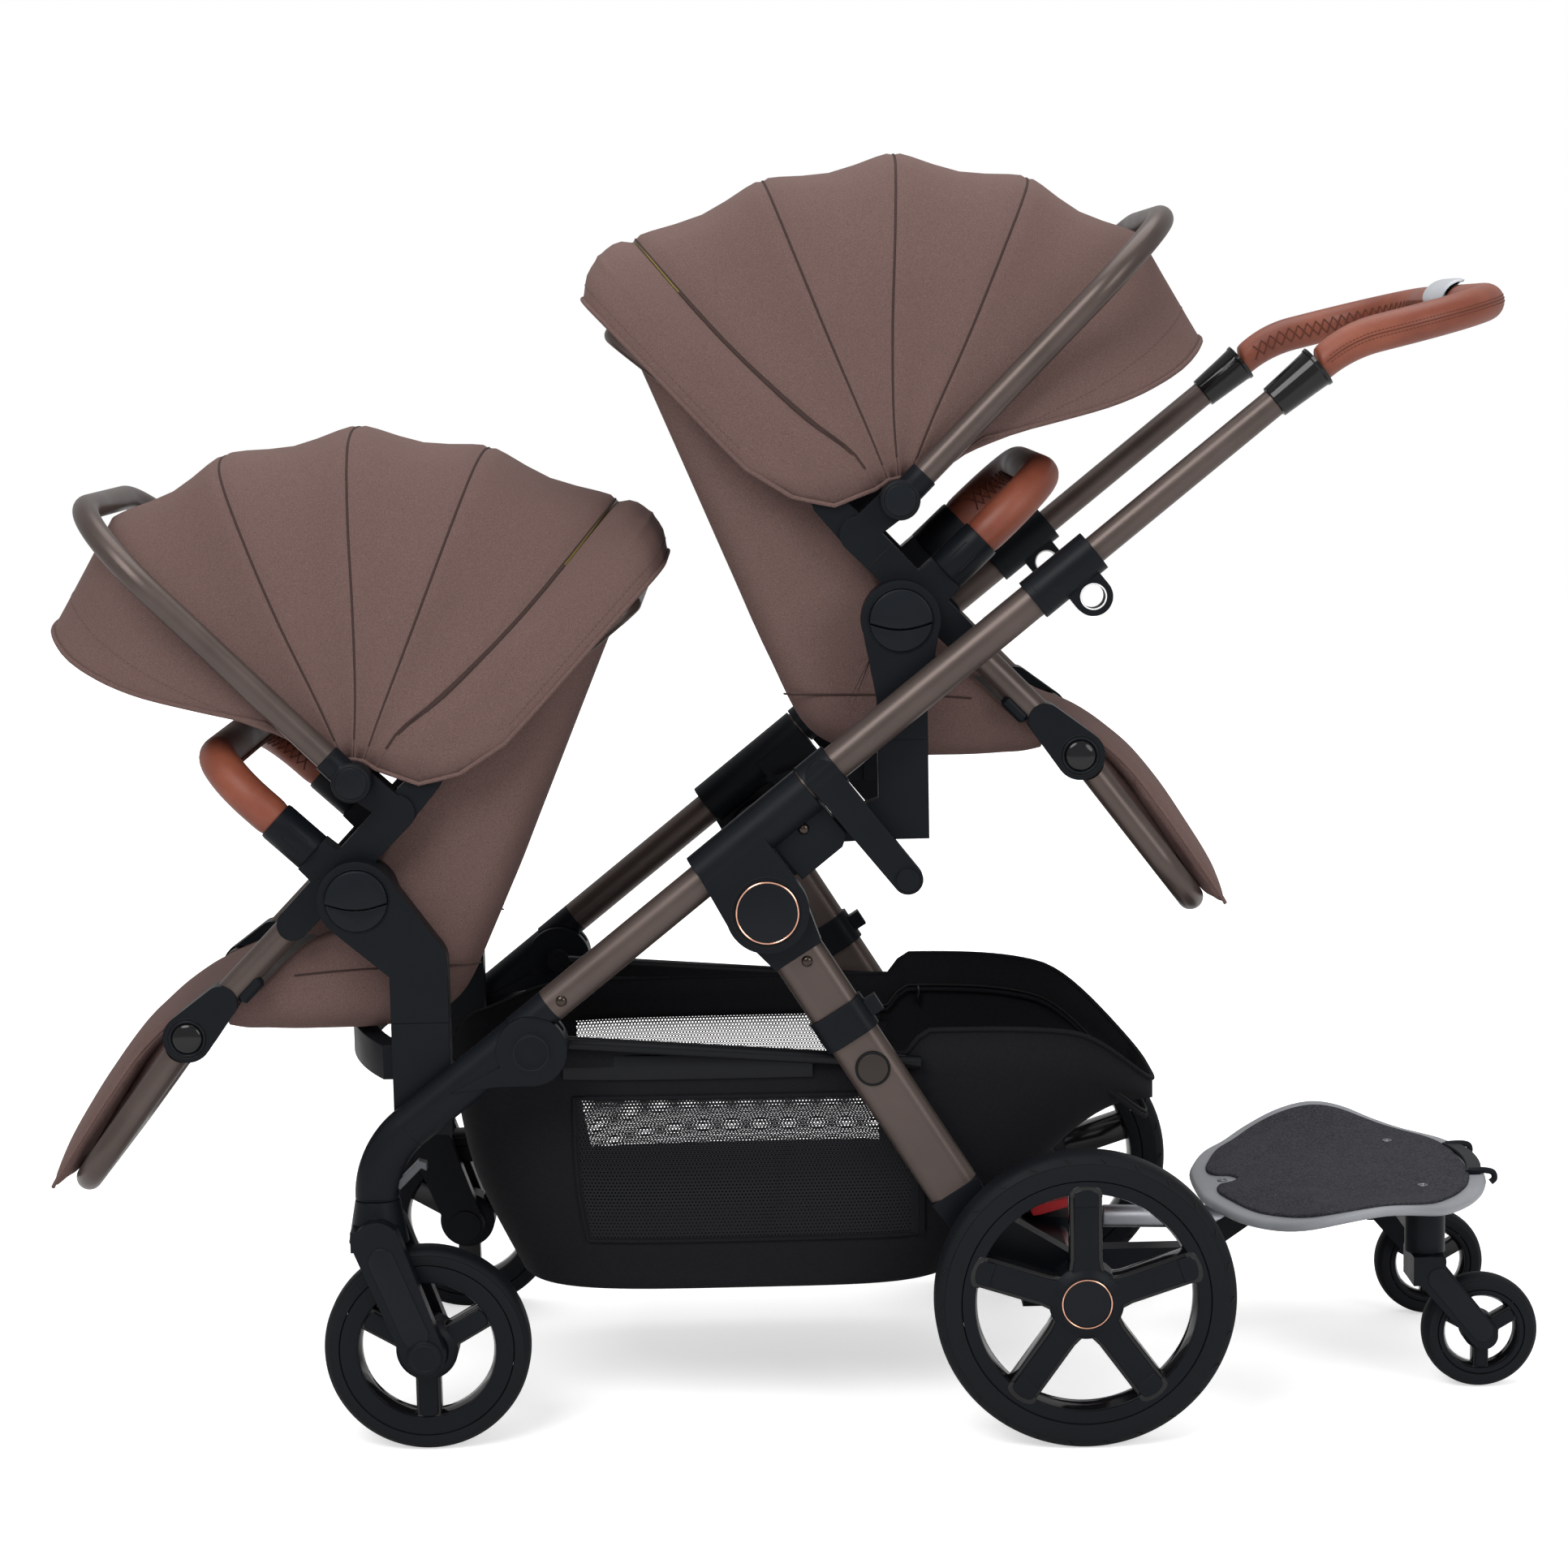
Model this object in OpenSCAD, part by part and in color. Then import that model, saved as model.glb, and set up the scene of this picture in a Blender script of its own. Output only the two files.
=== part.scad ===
// Tandem stroller with two reversible seats, a shopping basket and a ride-on board.
// The front of the stroller is towards -X, +Y is its far side, the floor is at z = 0.

/* [Frame] */
// Distance between the axes of the two main tubes
frame_w = 486; // [470:1:510]
// Outside diameter of the main tubes
tube_d = 34; // [30:1:36]
// Wall of the main tubes
tube_wall = 1.7; // [1.2:0.1:2]
// Lean of the main tubes from the floor, in degrees
tube_lean = 38.5; // [37:0.5:40]
// Place of the knuckle hinge along the stroller
knuckle_x = -38; // [-44:1:-32]
// Height of the knuckle hinge above the floor
knuckle_z = 524; // [518:1:530]
// Distance from the knuckle hinge up to the main tube's axis
knuckle_drop = 66.7; // [64:0.1:72]
// Length of the main tube above the knuckle, to its collar
lower_tube_len = 410; // [390:1:430]
// Length of the front leg tube below the knuckle
front_leg_len = 219; // [210:1:226]

/* [Handle] */
// Outside diameter of the telescopic tubes
slider_d = 27; // [24:0.5:28]
// Distance from the knuckle to the grip's cups
cup_at = 673; // [650:1:690]
// Diameter of the leather grip
grip_d = 35; // [30:1:38]
// Lean of the grip loop from the floor, in degrees
grip_lean = 13; // [8:1:18]
// Length of the grip loop behind its bend
grip_reach = 125; // [118:1:140]
// Radius of the loop's corners
grip_bend = 105; // [80:1:110]

/* [Rear frame] */
// Lean of the rear legs from the floor, in degrees
leg_lean = 58; // [56:0.5:60]
// Width of the oval rear leg seen from the side
leg_w = 52; // [46:1:56]
// Thickness of the oval rear leg across the stroller
leg_t = 28; // [24:1:30]
// Distance from the knuckle hinge to the leg's lower end
leg_len = 330; // [315:1:340]
// Diameter of the rear axle
axle_d = 12; // [10:0.5:14]

/* [Wheels] */
// Outside diameter of the rear wheels
rear_wheel_d = 290; // [280:1:300]
// Width of the rear tyres
rear_tyre_w = 42; // [36:1:46]
// Number of rear spokes
rear_spokes = 5; // [5:1:7]
// Outside diameter of the front wheels
front_wheel_d = 200; // [190:1:206]
// Width of the front tyres
front_tyre_w = 38; // [34:1:40]
// Number of front spokes
front_spokes = 3; // [3:1:5]
// Distance from the front axle to the rear axle
wheelbase = 635; // [625:1:645]

/* [Front frame] */
// Distance of the caster's swivel axis ahead of its wheel
front_trail = 44; // [40:1:50]
// Width of the swan-neck arm seen from the side
arm_w = 43; // [38:1:46]
// Thickness of the swan-neck arm across the stroller
arm_t = 36; // [32:1:38]
// Length of the arm's straight part ahead of its hinge
neck_len = 143; // [140:1:148]

/* [Basket] */
// Diameter of the basket rails
rail_d = 13.5; // [10:0.5:14]
// Height of the basket's floor
basket_z = 158; // [150:1:170]
// Depth of the rear pocket behind the rails
pocket_reach = 246; // [220:1:260]

/* [Seats] */
// Place of the upper seat's hub along the stroller
upper_hub_x = 95; // [92:1:98]
// Height of the upper seat's hub
upper_hub_z = 795; // [790:1:810]
// Place of the lower seat's hub along the stroller
lower_hub_x = -432; // [-436:1:-428]
// Height of the lower seat's hub
lower_hub_z = 536; // [530:1:545]
// Diameter of the seat tubes
seat_tube_d = 27; // [24:0.5:28]
// Diameter of the hub discs
hub_d = 76; // [70:1:80]
// Diameter of the hood's bow
bow_d = 25; // [22:0.5:26]
// Distance from the hood's pivot to the top of its bow
bow_reach = 371; // [360:1:380]
// Diameter of the bumper bar
bumper_d = 38; // [32:1:40]
// Length of the leg-rest loop
leg_rest_len = 190; // [180:1:200]
// Diameter of the leg-rest loop
leg_rest_d = 26; // [22:1:28]

/* [Ride-on board] */
// Height of the deck's rear edge
deck_z = 201; // [196:1:208]
// Length of the deck along the stroller
deck_len = 292; // [270:1:310]
// Width of the deck
deck_w = 456; // [430:1:480]
// Diameter of the board's wheels
board_wheel_d = 116; // [108:1:118]
// Distance between the middles of the board's wheels
board_track = 250; // [230:1:270]

/* [Hidden] */
$fn = 48;

// Clearances and the overrun that every cut shares
run_gap = 0.05;
seat_gap = 0.3;
soft_gap = 0.6;
overrun = 1;

// Colours
bronze = "#6e625c";
black = "#23262b";
soft_black = "#16171a";
mocha = "#705c58";
tan_leather = "#8b4c3a";
grey = "#8d9196";
silver = "#b5b8bc";
red = "#b02a33";

// Directions in the side plane, where a point is [x, z]
function dir(a) = [cos(a), sin(a)];
function at3(p, y) = [p[0], y, p[1]];
function mix(a, b, t) = a + (b - a) * t;

// Frame values
tube_r = tube_d / 2;
tube_y = frame_w / 2;
knuckle = [knuckle_x, knuckle_z];
along = dir(tube_lean);
below = dir(tube_lean - 90);
tube_foot = knuckle - knuckle_drop * below;
// A point on the main tube's line: s up along the tube, n below it
function on_tube(s, n) = tube_foot + s * along + n * below;

leg_offset = 6;
sleeve_wall = 4.5;
sleeve_r = tube_r + sleeve_wall + leg_offset / 4;
sleeve_lo = -28;
sleeve_hi = 104;
tube_split = 33;
collar_lo = lower_tube_len - 22;
collar_hi = lower_tube_len + 45;
collar_wall = 4;
eyelet_s = lower_tube_len + 17;
eyelet_n = 32.5;
eyelet_r = 11.5;
eyelet_rim = 7;
eyelet_t = 20;
front_pivot_s = -(front_leg_len + 41);
front_pivot_n = 27.3;
front_pivot = on_tube(front_pivot_s, front_pivot_n);
front_lobe_r = 34;
neck_bend = 85;
neck_drop = 11.25;
neck_foot = 2;
neck_start = on_tube(front_pivot_s - neck_len, neck_drop);
neck_centre = neck_start + neck_bend * below;
swivel_x = neck_centre[0] - neck_bend;
swivel_z = neck_centre[1] - neck_foot;
tongue_t = 14;
tongue_r = 21;
pivot_pin_r = 6;

// Layers across the stroller, all measured from its middle plane
lever_wall = 4;
lever_ring_r = tube_r + lever_wall;
adapter_out = tube_y - lever_ring_r - 1;
adapter_t = 25.5;
adapter_in = adapter_out - adapter_t;
seat_tube_r = seat_tube_d / 2;
bracket_wall = 1.5;
bracket_out = adapter_in - 0.5;
seat_y = bracket_out - bracket_wall - seat_tube_r;
bracket_in = seat_y - bracket_wall - seat_tube_r;
leg_in = tube_y - 24;
leg_out = leg_in + leg_t;
cheek_t = 18;
cheek_in = leg_out + seat_gap;
cheek_out = cheek_in + cheek_t;
arm_y = tube_y - 5;
arm_in = arm_y - arm_t / 2;
arm_out = arm_y + arm_t / 2;
rail_r = rail_d / 2;
rail_y = leg_in - 2.5 - rail_r;
basket_half = rail_y - rail_r - run_gap;
rear_wheel_in = leg_out + 11;
rear_wheel_y = rear_wheel_in + rear_tyre_w / 2;

// Places of the axles
front_axle_at = [swivel_x + front_trail, front_wheel_d / 2];
rear_axle_x = front_axle_at[0] + wheelbase;
rear_axle_at = [rear_axle_x, rear_wheel_d / 2];
axle_r = axle_d / 2;

// Shared shapes
module both() {
    children();
    mirror([0, 1, 0]) children();
}

module near() {
    mirror([0, 1, 0]) children();
}

// A plate of the side view between two distances from the middle plane
module slab(y0, y1) {
    translate([0, y1, 0]) rotate([90, 0, 0]) linear_extrude(y1 - y0) children();
}

// A straight round bar between two points
module rod(p, q, r) {
    v = q - p;
    l = norm(v);
    translate(p) rotate([0, acos(v[2] / l), atan2(v[1], v[0])]) cylinder(h = l, r = r);
}

// A round bar across the stroller at a point of the side view
module cross_pin(p, y0, y1, r) {
    slab(y0, y1) translate(p) circle(r);
}

// Two rounds of the side view joined by a straight web between their sides
module bar(p, q, rp, rq) {
    limb([p, q], [rp, rq]);
}

// A bent arm of the side view: rounds along a path with straight webs between them
module limb(path, radii) {
    last = len(path) - 1;
    for (i = [0 : last]) translate(path[i]) circle(radii[i]);
    for (i = [0 : last - 1]) {
        v = path[i + 1] - path[i];
        a = atan2(v[1], v[0]);
        b = acos((radii[i] - radii[i + 1]) / norm(v));
        polygon([path[i] + radii[i] * dir(a + b), path[i + 1] + radii[i + 1] * dir(a + b),
            path[i + 1] + radii[i + 1] * dir(a - b), path[i] + radii[i] * dir(a - b)]);
    }
}

// A U-shaped tube in the x-y plane, legs along +x
module hoop(reach, half, bend, r) {
    both() {
        rod([0, half, 0], [reach - bend, half, 0], r);
        translate([reach - bend, half - bend, 0])
            rotate_extrude(angle = 90) translate([bend, 0]) circle(r);
        rod([reach, 0, 0], [reach, half - bend, 0], r);
    }
}

// A flat oval, long along x
module oval(w, t) {
    square([w - t, t], center = true);
    for (side = [-1, 1]) translate([side * (w - t) / 2, 0]) circle(d = t);
}

// A closed skin over rings of equal length; a strip ring runs out along one face and back along the other
module loft(rings, strip = true) {
    n = len(rings[0]);
    m = len(rings);
    points = [for (ring = rings) for (p = ring) p];
    sides = [for (i = [0 : m - 2]) for (j = [0 : n - 1]) let (k = (j + 1) % n)
        each [[i * n + j, i * n + k, (i + 1) * n + j], [i * n + k, (i + 1) * n + k, (i + 1) * n + j]]];
    end = (m - 1) * n;
    ladder = [for (j = [0 : n / 2 - 2]) each [[j, j + 1, n - 2 - j], [j, n - 2 - j, n - 1 - j]]];
    first = strip ? [for (f = ladder) [f[2], f[1], f[0]]] : [[for (j = [n - 1 : -1 : 0]) j]];
    last = strip ? [for (f = ladder) [end + f[0], end + f[1], end + f[2]]]
        : [[for (j = [0 : n - 1]) end + j]];
    polyhedron(points, concat(first, sides, last), convexity = 8);
}

// Main tubes, knuckles and end fittings
module main_tubes() {
    color(bronze) both() {
        difference() {
            rod(at3(on_tube(tube_split, 0), tube_y), at3(on_tube(lower_tube_len, 0), tube_y), tube_r);
            rod(at3(on_tube(tube_split - overrun, 0), tube_y),
                at3(on_tube(lower_tube_len + overrun, 0), tube_y), tube_r - tube_wall);
        }
        difference() {
            rod(at3(on_tube(-front_leg_len, leg_offset), tube_y),
                at3(on_tube(tube_split - 2, leg_offset), tube_y), tube_r);
            rod(at3(on_tube(-front_leg_len - overrun, leg_offset), tube_y),
                at3(on_tube(tube_split, leg_offset), tube_y), tube_r - tube_wall);
        }
    }
}

disc_r = 40;
ring_r = 31;
ring_proud = 1.5;
hinge_pin_r = 8;
body_lo = 44;
body_depth = 66;
socket_w = 48;
socket_foot = 210;
socket_head = 114;
socket_z0 = upper_hub_z - socket_foot;
socket_z1 = upper_hub_z - socket_head;
plate_h = 42;
plate_z1 = socket_z0 + plate_h;
plate_t = 16;
plate_s = body_lo + plate_t / 2;
body_share = 0.9;
plug_w = 36;
plug_t = 17;
plug_len = 40;

module knuckles() {
    color(black) both() difference() {
        union() {
            rod(at3(on_tube(sleeve_lo, leg_offset / 2), tube_y),
                at3(on_tube(sleeve_hi, leg_offset / 2), tube_y), sleeve_r);
            slab(cheek_in, cheek_out) {
                translate(knuckle) circle(disc_r);
                polygon([on_tube(sleeve_lo, 0), on_tube(body_lo, 0),
                    on_tube(disc_r, knuckle_drop), on_tube(-disc_r, knuckle_drop)]);
            }
            cross_pin(knuckle, cheek_out - overrun, cheek_out + ring_proud, ring_r);
            cross_pin(knuckle, leg_in, cheek_in + overrun, hinge_pin_r);
            slab(leg_in, cheek_in) polygon([on_tube(body_lo, 0), on_tube(sleeve_hi, 0),
                on_tube(sleeve_hi, body_depth * body_share), on_tube(sleeve_hi * body_share, body_depth),
                on_tube(body_lo, body_depth)]);
            slab(leg_in - plate_t, leg_in + 2 * overrun) polygon([on_tube(plate_s, body_depth / 3),
                [upper_hub_x - plug_w / 2, plate_z1], [upper_hub_x - plug_w / 2, socket_z0],
                on_tube(sleeve_hi * body_share, body_depth - overrun), on_tube(plate_s, body_depth - overrun)]);
            translate([upper_hub_x - socket_w / 2, adapter_in, socket_z0])
                cube([socket_w, adapter_t, socket_z1 - socket_z0]);
        }
        rod(at3(on_tube(tube_split, 0), tube_y), at3(on_tube(sleeve_hi + overrun, 0), tube_y),
            tube_r + run_gap);
        rod(at3(on_tube(sleeve_lo - disc_r, leg_offset), tube_y),
            at3(on_tube(tube_split, leg_offset), tube_y), tube_r + run_gap);
        translate([upper_hub_x - plug_w / 2, adapter_in + adapter_t / 2 - plug_t / 2, socket_z1 - plug_len])
            cube([plug_w, plug_t, plug_len + overrun]);
    }
}

module tube_end_fittings() {
    color(black) both() {
        difference() {
            union() {
                rod(at3(on_tube(collar_lo, 0), tube_y), at3(on_tube(collar_hi, 0), tube_y),
                    tube_r + collar_wall);
                slab(tube_y - eyelet_t / 2, tube_y + eyelet_t / 2)
                    bar(on_tube(eyelet_s, 0), on_tube(eyelet_s, eyelet_n), eyelet_r + eyelet_rim,
                        eyelet_r + eyelet_rim);
            }
            rod(at3(on_tube(collar_lo - overrun, 0), tube_y), at3(on_tube(lower_tube_len, 0), tube_y),
                tube_r + run_gap);
            rod(at3(on_tube(collar_lo, 0), tube_y), at3(on_tube(collar_hi + overrun, 0), tube_y),
                slider_d / 2 + run_gap);
            cross_pin(on_tube(eyelet_s, eyelet_n), tube_y - eyelet_t, tube_y + eyelet_t, eyelet_r);
        }
        difference() {
            union() {
                difference() {
                    rod(at3(on_tube(front_pivot_s, leg_offset), tube_y),
                        at3(on_tube(-front_leg_len, leg_offset), tube_y), tube_r);
                    cross_pin(front_pivot, tube_y - tube_d, tube_y + tube_d, front_lobe_r + seat_gap);
                }
                rod(at3(on_tube(-front_leg_len - overrun, leg_offset), tube_y),
                    at3(on_tube(-front_leg_len + tube_d, leg_offset), tube_y), tube_r - tube_wall - run_gap);
                slab(arm_y - tongue_t / 2, arm_y + tongue_t / 2)
                    bar(front_pivot, on_tube(-front_leg_len - tube_r / 2, leg_offset + 4), tongue_r, tube_r / 2);
            }
            cross_pin(front_pivot, 0, tube_y + tube_d, pivot_pin_r + run_gap);
        }
    }
}

// Handle
slider_r = slider_d / 2;
slider_lo = lower_tube_len - 115;
cup_len = 52;
cup_lip = 3;
grip_r = grip_d / 2;
grip_straight = 10;
grip_elbow_r = 120;
grip_swell = 0.5;
grip_lap = 4;
grip_start = on_tube(cup_at + cup_len + grip_straight, 0);
grip_centre = grip_start + grip_elbow_r * below;
grip_knee = grip_centre + grip_elbow_r * dir(grip_lean + 90);
button_w = 96;
button_t = 4;
button_travel = 3;
button_span = 100;
button_turn = 25;
stem_r = 3;

module handle_tubes() {
    color(bronze) both() difference() {
        union() {
            rod(at3(on_tube(slider_lo, 0), tube_y), at3(on_tube(cup_at + cup_len, 0), tube_y), slider_r);
            translate(at3(on_tube(cup_at, 0), tube_y)) rotate([0, 90 - tube_lean, 0]) {
                cylinder(h = cup_len, r1 = slider_r + 2, r2 = grip_r + 1);
                translate([0, 0, cup_len - cup_lip]) cylinder(h = cup_lip, r = grip_r + 2);
            }
        }
        rod(at3(on_tube(slider_lo - overrun, 0), tube_y), at3(on_tube(cup_at, 0), tube_y),
            slider_r - tube_wall);
    }
}

// The loop's cross bar seen from its own axes: x runs back along the loop
module at_loop() {
    translate(at3(grip_knee, 0)) rotate([0, -grip_lean, 0]) children();
}

module handle_grip() {
    color(tan_leather) difference() {
        union() {
            both() {
                rod(at3(on_tube(cup_at + cup_len, 0), tube_y),
                    at3(grip_start + grip_lap * along, tube_y), grip_r);
                translate(at3(grip_centre, tube_y)) rotate([90, 0, 0]) rotate([0, 0, grip_lean + 90])
                    rotate_extrude(angle = tube_lean - grip_lean) translate([grip_elbow_r, 0])
                        circle(grip_r + grip_swell);
            }
            at_loop() translate([-grip_lap, 0, 0]) hoop(grip_reach + grip_lap, tube_y, grip_bend, grip_r);
        }
        at_loop() for (side = [-1, 1]) translate([grip_reach, side * button_w / 4, 0])
            rotate([0, -button_turn, 0]) cylinder(h = grip_d, r = stem_r + run_gap);
    }
}

module handle_button() {
    inner_r = grip_r + button_travel + seat_gap;
    color(grey) at_loop() translate([grip_reach, 0, 0]) {
        translate([0, button_w / 2, 0]) rotate([90, 0, 0]) rotate([0, 0, 90 + button_turn - button_span / 2])
            linear_extrude(button_w) difference() {
                intersection() {
                    circle(inner_r + button_t);
                    polygon([[0, 0], 2 * inner_r * dir(0), 2 * inner_r * dir(button_span / 2),
                        2 * inner_r * dir(button_span)]);
                }
                circle(inner_r);
            }
        for (side = [-1, 1]) translate([0, side * button_w / 4, 0]) rotate([0, -button_turn, 0])
            translate([0, 0, grip_r / 2]) cylinder(h = inner_r + button_t / 2 - grip_r / 2, r = stem_r);
    }
}

// Fold levers
lever_s0 = sleeve_hi + 2;
lever_w = 33;
lever_len = 128;
lever_t = 15;
lever_y0 = tube_y + tube_r - 12;
thumb_t = 4;

module fold_lever() {
    color(black) difference() {
        union() {
            rod(at3(on_tube(lever_s0, 0), tube_y), at3(on_tube(lever_s0 + lever_w, 0), tube_y), lever_ring_r);
            slab(lever_y0, lever_y0 + lever_t) bar(on_tube(lever_s0 + lever_w / 2, 0),
                on_tube(lever_s0 + lever_w / 2, lever_len), lever_w / 2 - 1, lever_w / 2 - 2);
            slab(lever_y0, lever_y0 + lever_t + thumb_t) translate(on_tube(lever_s0 + lever_w / 2, lever_len))
                circle(lever_w / 3);
        }
        rod(at3(on_tube(lever_s0 - overrun, 0), tube_y), at3(on_tube(lever_s0 + lever_w + overrun, 0), tube_y),
            tube_r + run_gap);
    }
}

module fold_lever_near() {
    near() fold_lever();
}

module fold_lever_far() {
    fold_lever();
}

// Rear frame
leg_dir = dir(-leg_lean);
leg_side = dir(90 - leg_lean);
leg_top = 55;
leg_wall = 2;
casting_r = disc_r - 2;
foot_len = 42;
foot_knee = knuckle + (leg_len + foot_len) * leg_dir;
foot_r = 22;
axle_boss_r = 24;
rail_pivot_len = 185;
rail_pivot_at = knuckle + rail_pivot_len * leg_dir;
rail_cap_r = 17;
rail_cap_t = 2;
clip_at = 118;
clip_len = 34;
clip_wall = 3;
clip_tab = 14;
beam_w = 50;
beam_h = 34;
beam_back = 30;
beam_drop = 8;
pod_r = 42;
pod_h = 36;
pod_step = 4;
pod_x = rear_axle_x + pod_step;
pod_z0 = rear_axle_at[1] - beam_drop - beam_h / 2 + pod_step;

// Local z runs down the rear leg from the knuckle hinge
module down_leg(s) {
    translate(at3(knuckle, leg_in + leg_t / 2)) rotate([0, 90 + leg_lean, 0]) translate([0, 0, s]) children();
}

module rear_legs() {
    color(bronze) both() down_leg(leg_top) linear_extrude(leg_len - leg_top) difference() {
        oval(leg_w, leg_t);
        oval(leg_w - 2 * leg_wall, leg_t - 2 * leg_wall);
    }
}

module rear_leg_castings() {
    leg_end = knuckle + leg_len * leg_dir;
    leg_start = knuckle + leg_top * leg_dir;
    half = leg_w / 2;
    color(black) {
        both() {
            difference() {
                slab(leg_in, leg_out) {
                    translate(knuckle) circle(casting_r);
                    polygon([knuckle + casting_r * leg_side, leg_start + half * leg_side,
                        leg_start - half * leg_side, knuckle - casting_r * leg_side]);
                }
                cross_pin(knuckle, 0, tube_y + tube_d, hinge_pin_r + run_gap);
            }
            down_leg(clip_at) difference() {
                union() {
                    linear_extrude(clip_len) oval(leg_w + 2 * clip_wall, leg_t + 2 * clip_wall);
                    translate([-leg_w / 2 - clip_tab, -leg_t / 4, clip_len / 4])
                        cube([clip_tab, leg_t / 2, clip_len / 2]);
                }
                translate([0, 0, -overrun]) linear_extrude(clip_len + 2 * overrun)
                    oval(leg_w + 2 * run_gap, leg_t + 2 * run_gap);
            }
            cross_pin(rail_pivot_at, leg_out, leg_out + rail_cap_t, rail_cap_r);
        }
        difference() {
            union() {
                both() {
                    slab(leg_in, leg_out) {
                        polygon([leg_end + half * leg_side, leg_end - half * leg_side,
                            foot_knee - foot_r * leg_side, foot_knee + foot_r * leg_side]);
                        bar(foot_knee, rear_axle_at, foot_r, axle_boss_r);
                    }
                }
                translate([rear_axle_x - beam_back - beam_w / 2, -leg_in - overrun,
                    rear_axle_at[1] - beam_drop - beam_h / 2])
                    cube([beam_w, 2 * leg_in + 2 * overrun, beam_h]);
                translate([pod_x, 0, pod_z0]) cylinder(h = pod_h, r = pod_r);
            }
            cross_pin(rear_axle_at, -leg_out - overrun, leg_out + overrun, axle_r + run_gap);
            cross_pin(pedal_at, -pedal_w, pedal_w, pedal_pin_r + overrun);
            translate([tow_pin_x, 0, pod_z0 - overrun]) cylinder(h = tow_pin_in + 2 * overrun, r = tow_pin_r + run_gap);
        }
    }
}

hub_cap_t = 6;

module rear_axle() {
    reach = rear_wheel_in + rear_tyre_w - hub_cap_t - 2;
    color(silver) cross_pin(rear_axle_at, -reach, reach, axle_r);
}

pedal_w = 70;
pedal_len = 62;
pedal_t = 9;
pedal_lift = 14;
pedal_pin_r = 5;
pedal_root_share = 0.8;
pedal_at = [pod_x - pod_r + 12, pod_z0 + pod_h + pedal_pin_r + seat_gap];

module brake_pedal() {
    r = pedal_pin_r;
    tip = pedal_at + [pedal_len, pedal_lift];
    color(red) slab(-pedal_w / 2, pedal_w / 2) polygon([pedal_at + [-r, 0], pedal_at + [-r / 2, r],
        tip + [-pedal_t, pedal_t / 2], tip + [0, pedal_t / 4], tip + [0, -pedal_t / 4],
        pedal_at + [r, -r * pedal_root_share], pedal_at + [-r / 2, -r]]);
}

// Wheels, drawn about their axle with the outer face towards +y
rim_open_share = 0.735;
rim_seat_share = 0.82;
front_open_share = 0.667;
front_seat_share = 0.84;
rear_hub_r = 36;
front_hub_r = 32;
rear_spoke_w = 30;
front_spoke_w = 24;
spoke_t = 16;

module wheel_at(p, y) {
    translate(at3(p, y)) rotate([-90, 0, 0]) children();
}

// Rim with hub and spokes; z runs outwards along the axle
module rim(d, w, open_share, seat_share, hub_r, hub_in, hub_out, spokes, spoke_w, first, bore_r, bore_end) {
    open_r = open_share * d / 2;
    seat_r = seat_share * d / 2;
    difference() {
        union() {
            rotate_extrude() polygon([[open_r, -w / 2], [seat_r, -w / 2], [seat_r, w / 2],
                [open_r, w / 2], [open_r + w / 8, w / 4], [open_r + w / 8, -w / 4]]);
            translate([0, 0, -hub_in]) cylinder(h = hub_in + hub_out, r = hub_r);
            for (i = [0 : spokes - 1]) rotate([0, 0, first + i * 360 / spokes])
                translate([0, 0, -spoke_t / 2]) linear_extrude(spoke_t)
                    polygon([[hub_r / 2, -spoke_w / 2], [open_r + w / 8 + overrun, -spoke_w * 0.4],
                        [open_r + w / 8 + overrun, spoke_w * 0.4], [hub_r / 2, spoke_w / 2]]);
        }
        translate([0, 0, -hub_in - overrun]) cylinder(h = hub_in + overrun + bore_end, r = bore_r);
    }
}

// Tyre with rounded shoulders and a bead that sits on the rim
module tyre(d, w, seat_share) {
    r0 = seat_share * d / 2 + run_gap;
    r1 = d / 2;
    h = r1 - r0;
    color(soft_black) rotate_extrude() polygon([[r0, -w * 0.4], [r0 + h * 0.35, -w / 2], [r0 + h * 0.7, -w / 2],
        [r1 - h * 0.08, -w * 0.36], [r1, -w * 0.2], [r1, w * 0.2], [r1 - h * 0.08, w * 0.36],
        [r0 + h * 0.7, w / 2], [r0 + h * 0.35, w / 2], [r0, w * 0.4]]);
}

module rear_rim() {
    color(black) wheel_at(rear_axle_at, rear_wheel_y)
        rim(rear_wheel_d, rear_tyre_w * 0.8, rim_open_share, rim_seat_share, rear_hub_r,
            rear_tyre_w / 2 + 9, rear_tyre_w / 2, rear_spokes, rear_spoke_w, -90, axle_r + run_gap,
            rear_tyre_w / 2 - hub_cap_t);
}

module rear_tyre() {
    wheel_at(rear_axle_at, rear_wheel_y) tyre(rear_wheel_d, rear_tyre_w, rim_seat_share);
}

module rear_rim_near() {
    near() rear_rim();
}

module rear_rim_far() {
    rear_rim();
}

module rear_tyre_near() {
    near() rear_tyre();
}

module rear_tyre_far() {
    rear_tyre();
}

// Front arms with the lower seat's sockets and the curved crossbar
neck_step = 0.8;
neck_lap = 4;
neck_turn = 90 - tube_lean;
lower_post_back = 57;
lower_post_x = lower_hub_x + lower_post_back;
lower_socket_w = 56;
lower_socket_drop = 121;
lower_socket_h = 110;
lower_elbow_drop = 62;
lower_socket_z1 = lower_hub_z - lower_socket_drop;
lower_socket_z0 = lower_socket_z1 - lower_socket_h;
crossbar_h = 34;
crossbar_t = 20;
crossbar_bulge = 50;
crossbar_drop = 42;
crossbar_z = lower_socket_z1 - crossbar_drop;
pivot_cap_r = 17;
pivot_cap_t = 1.5;
swivel_pin_r = 9;
swivel_pin_len = 30;
fold_arm_turn = 18;

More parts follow.
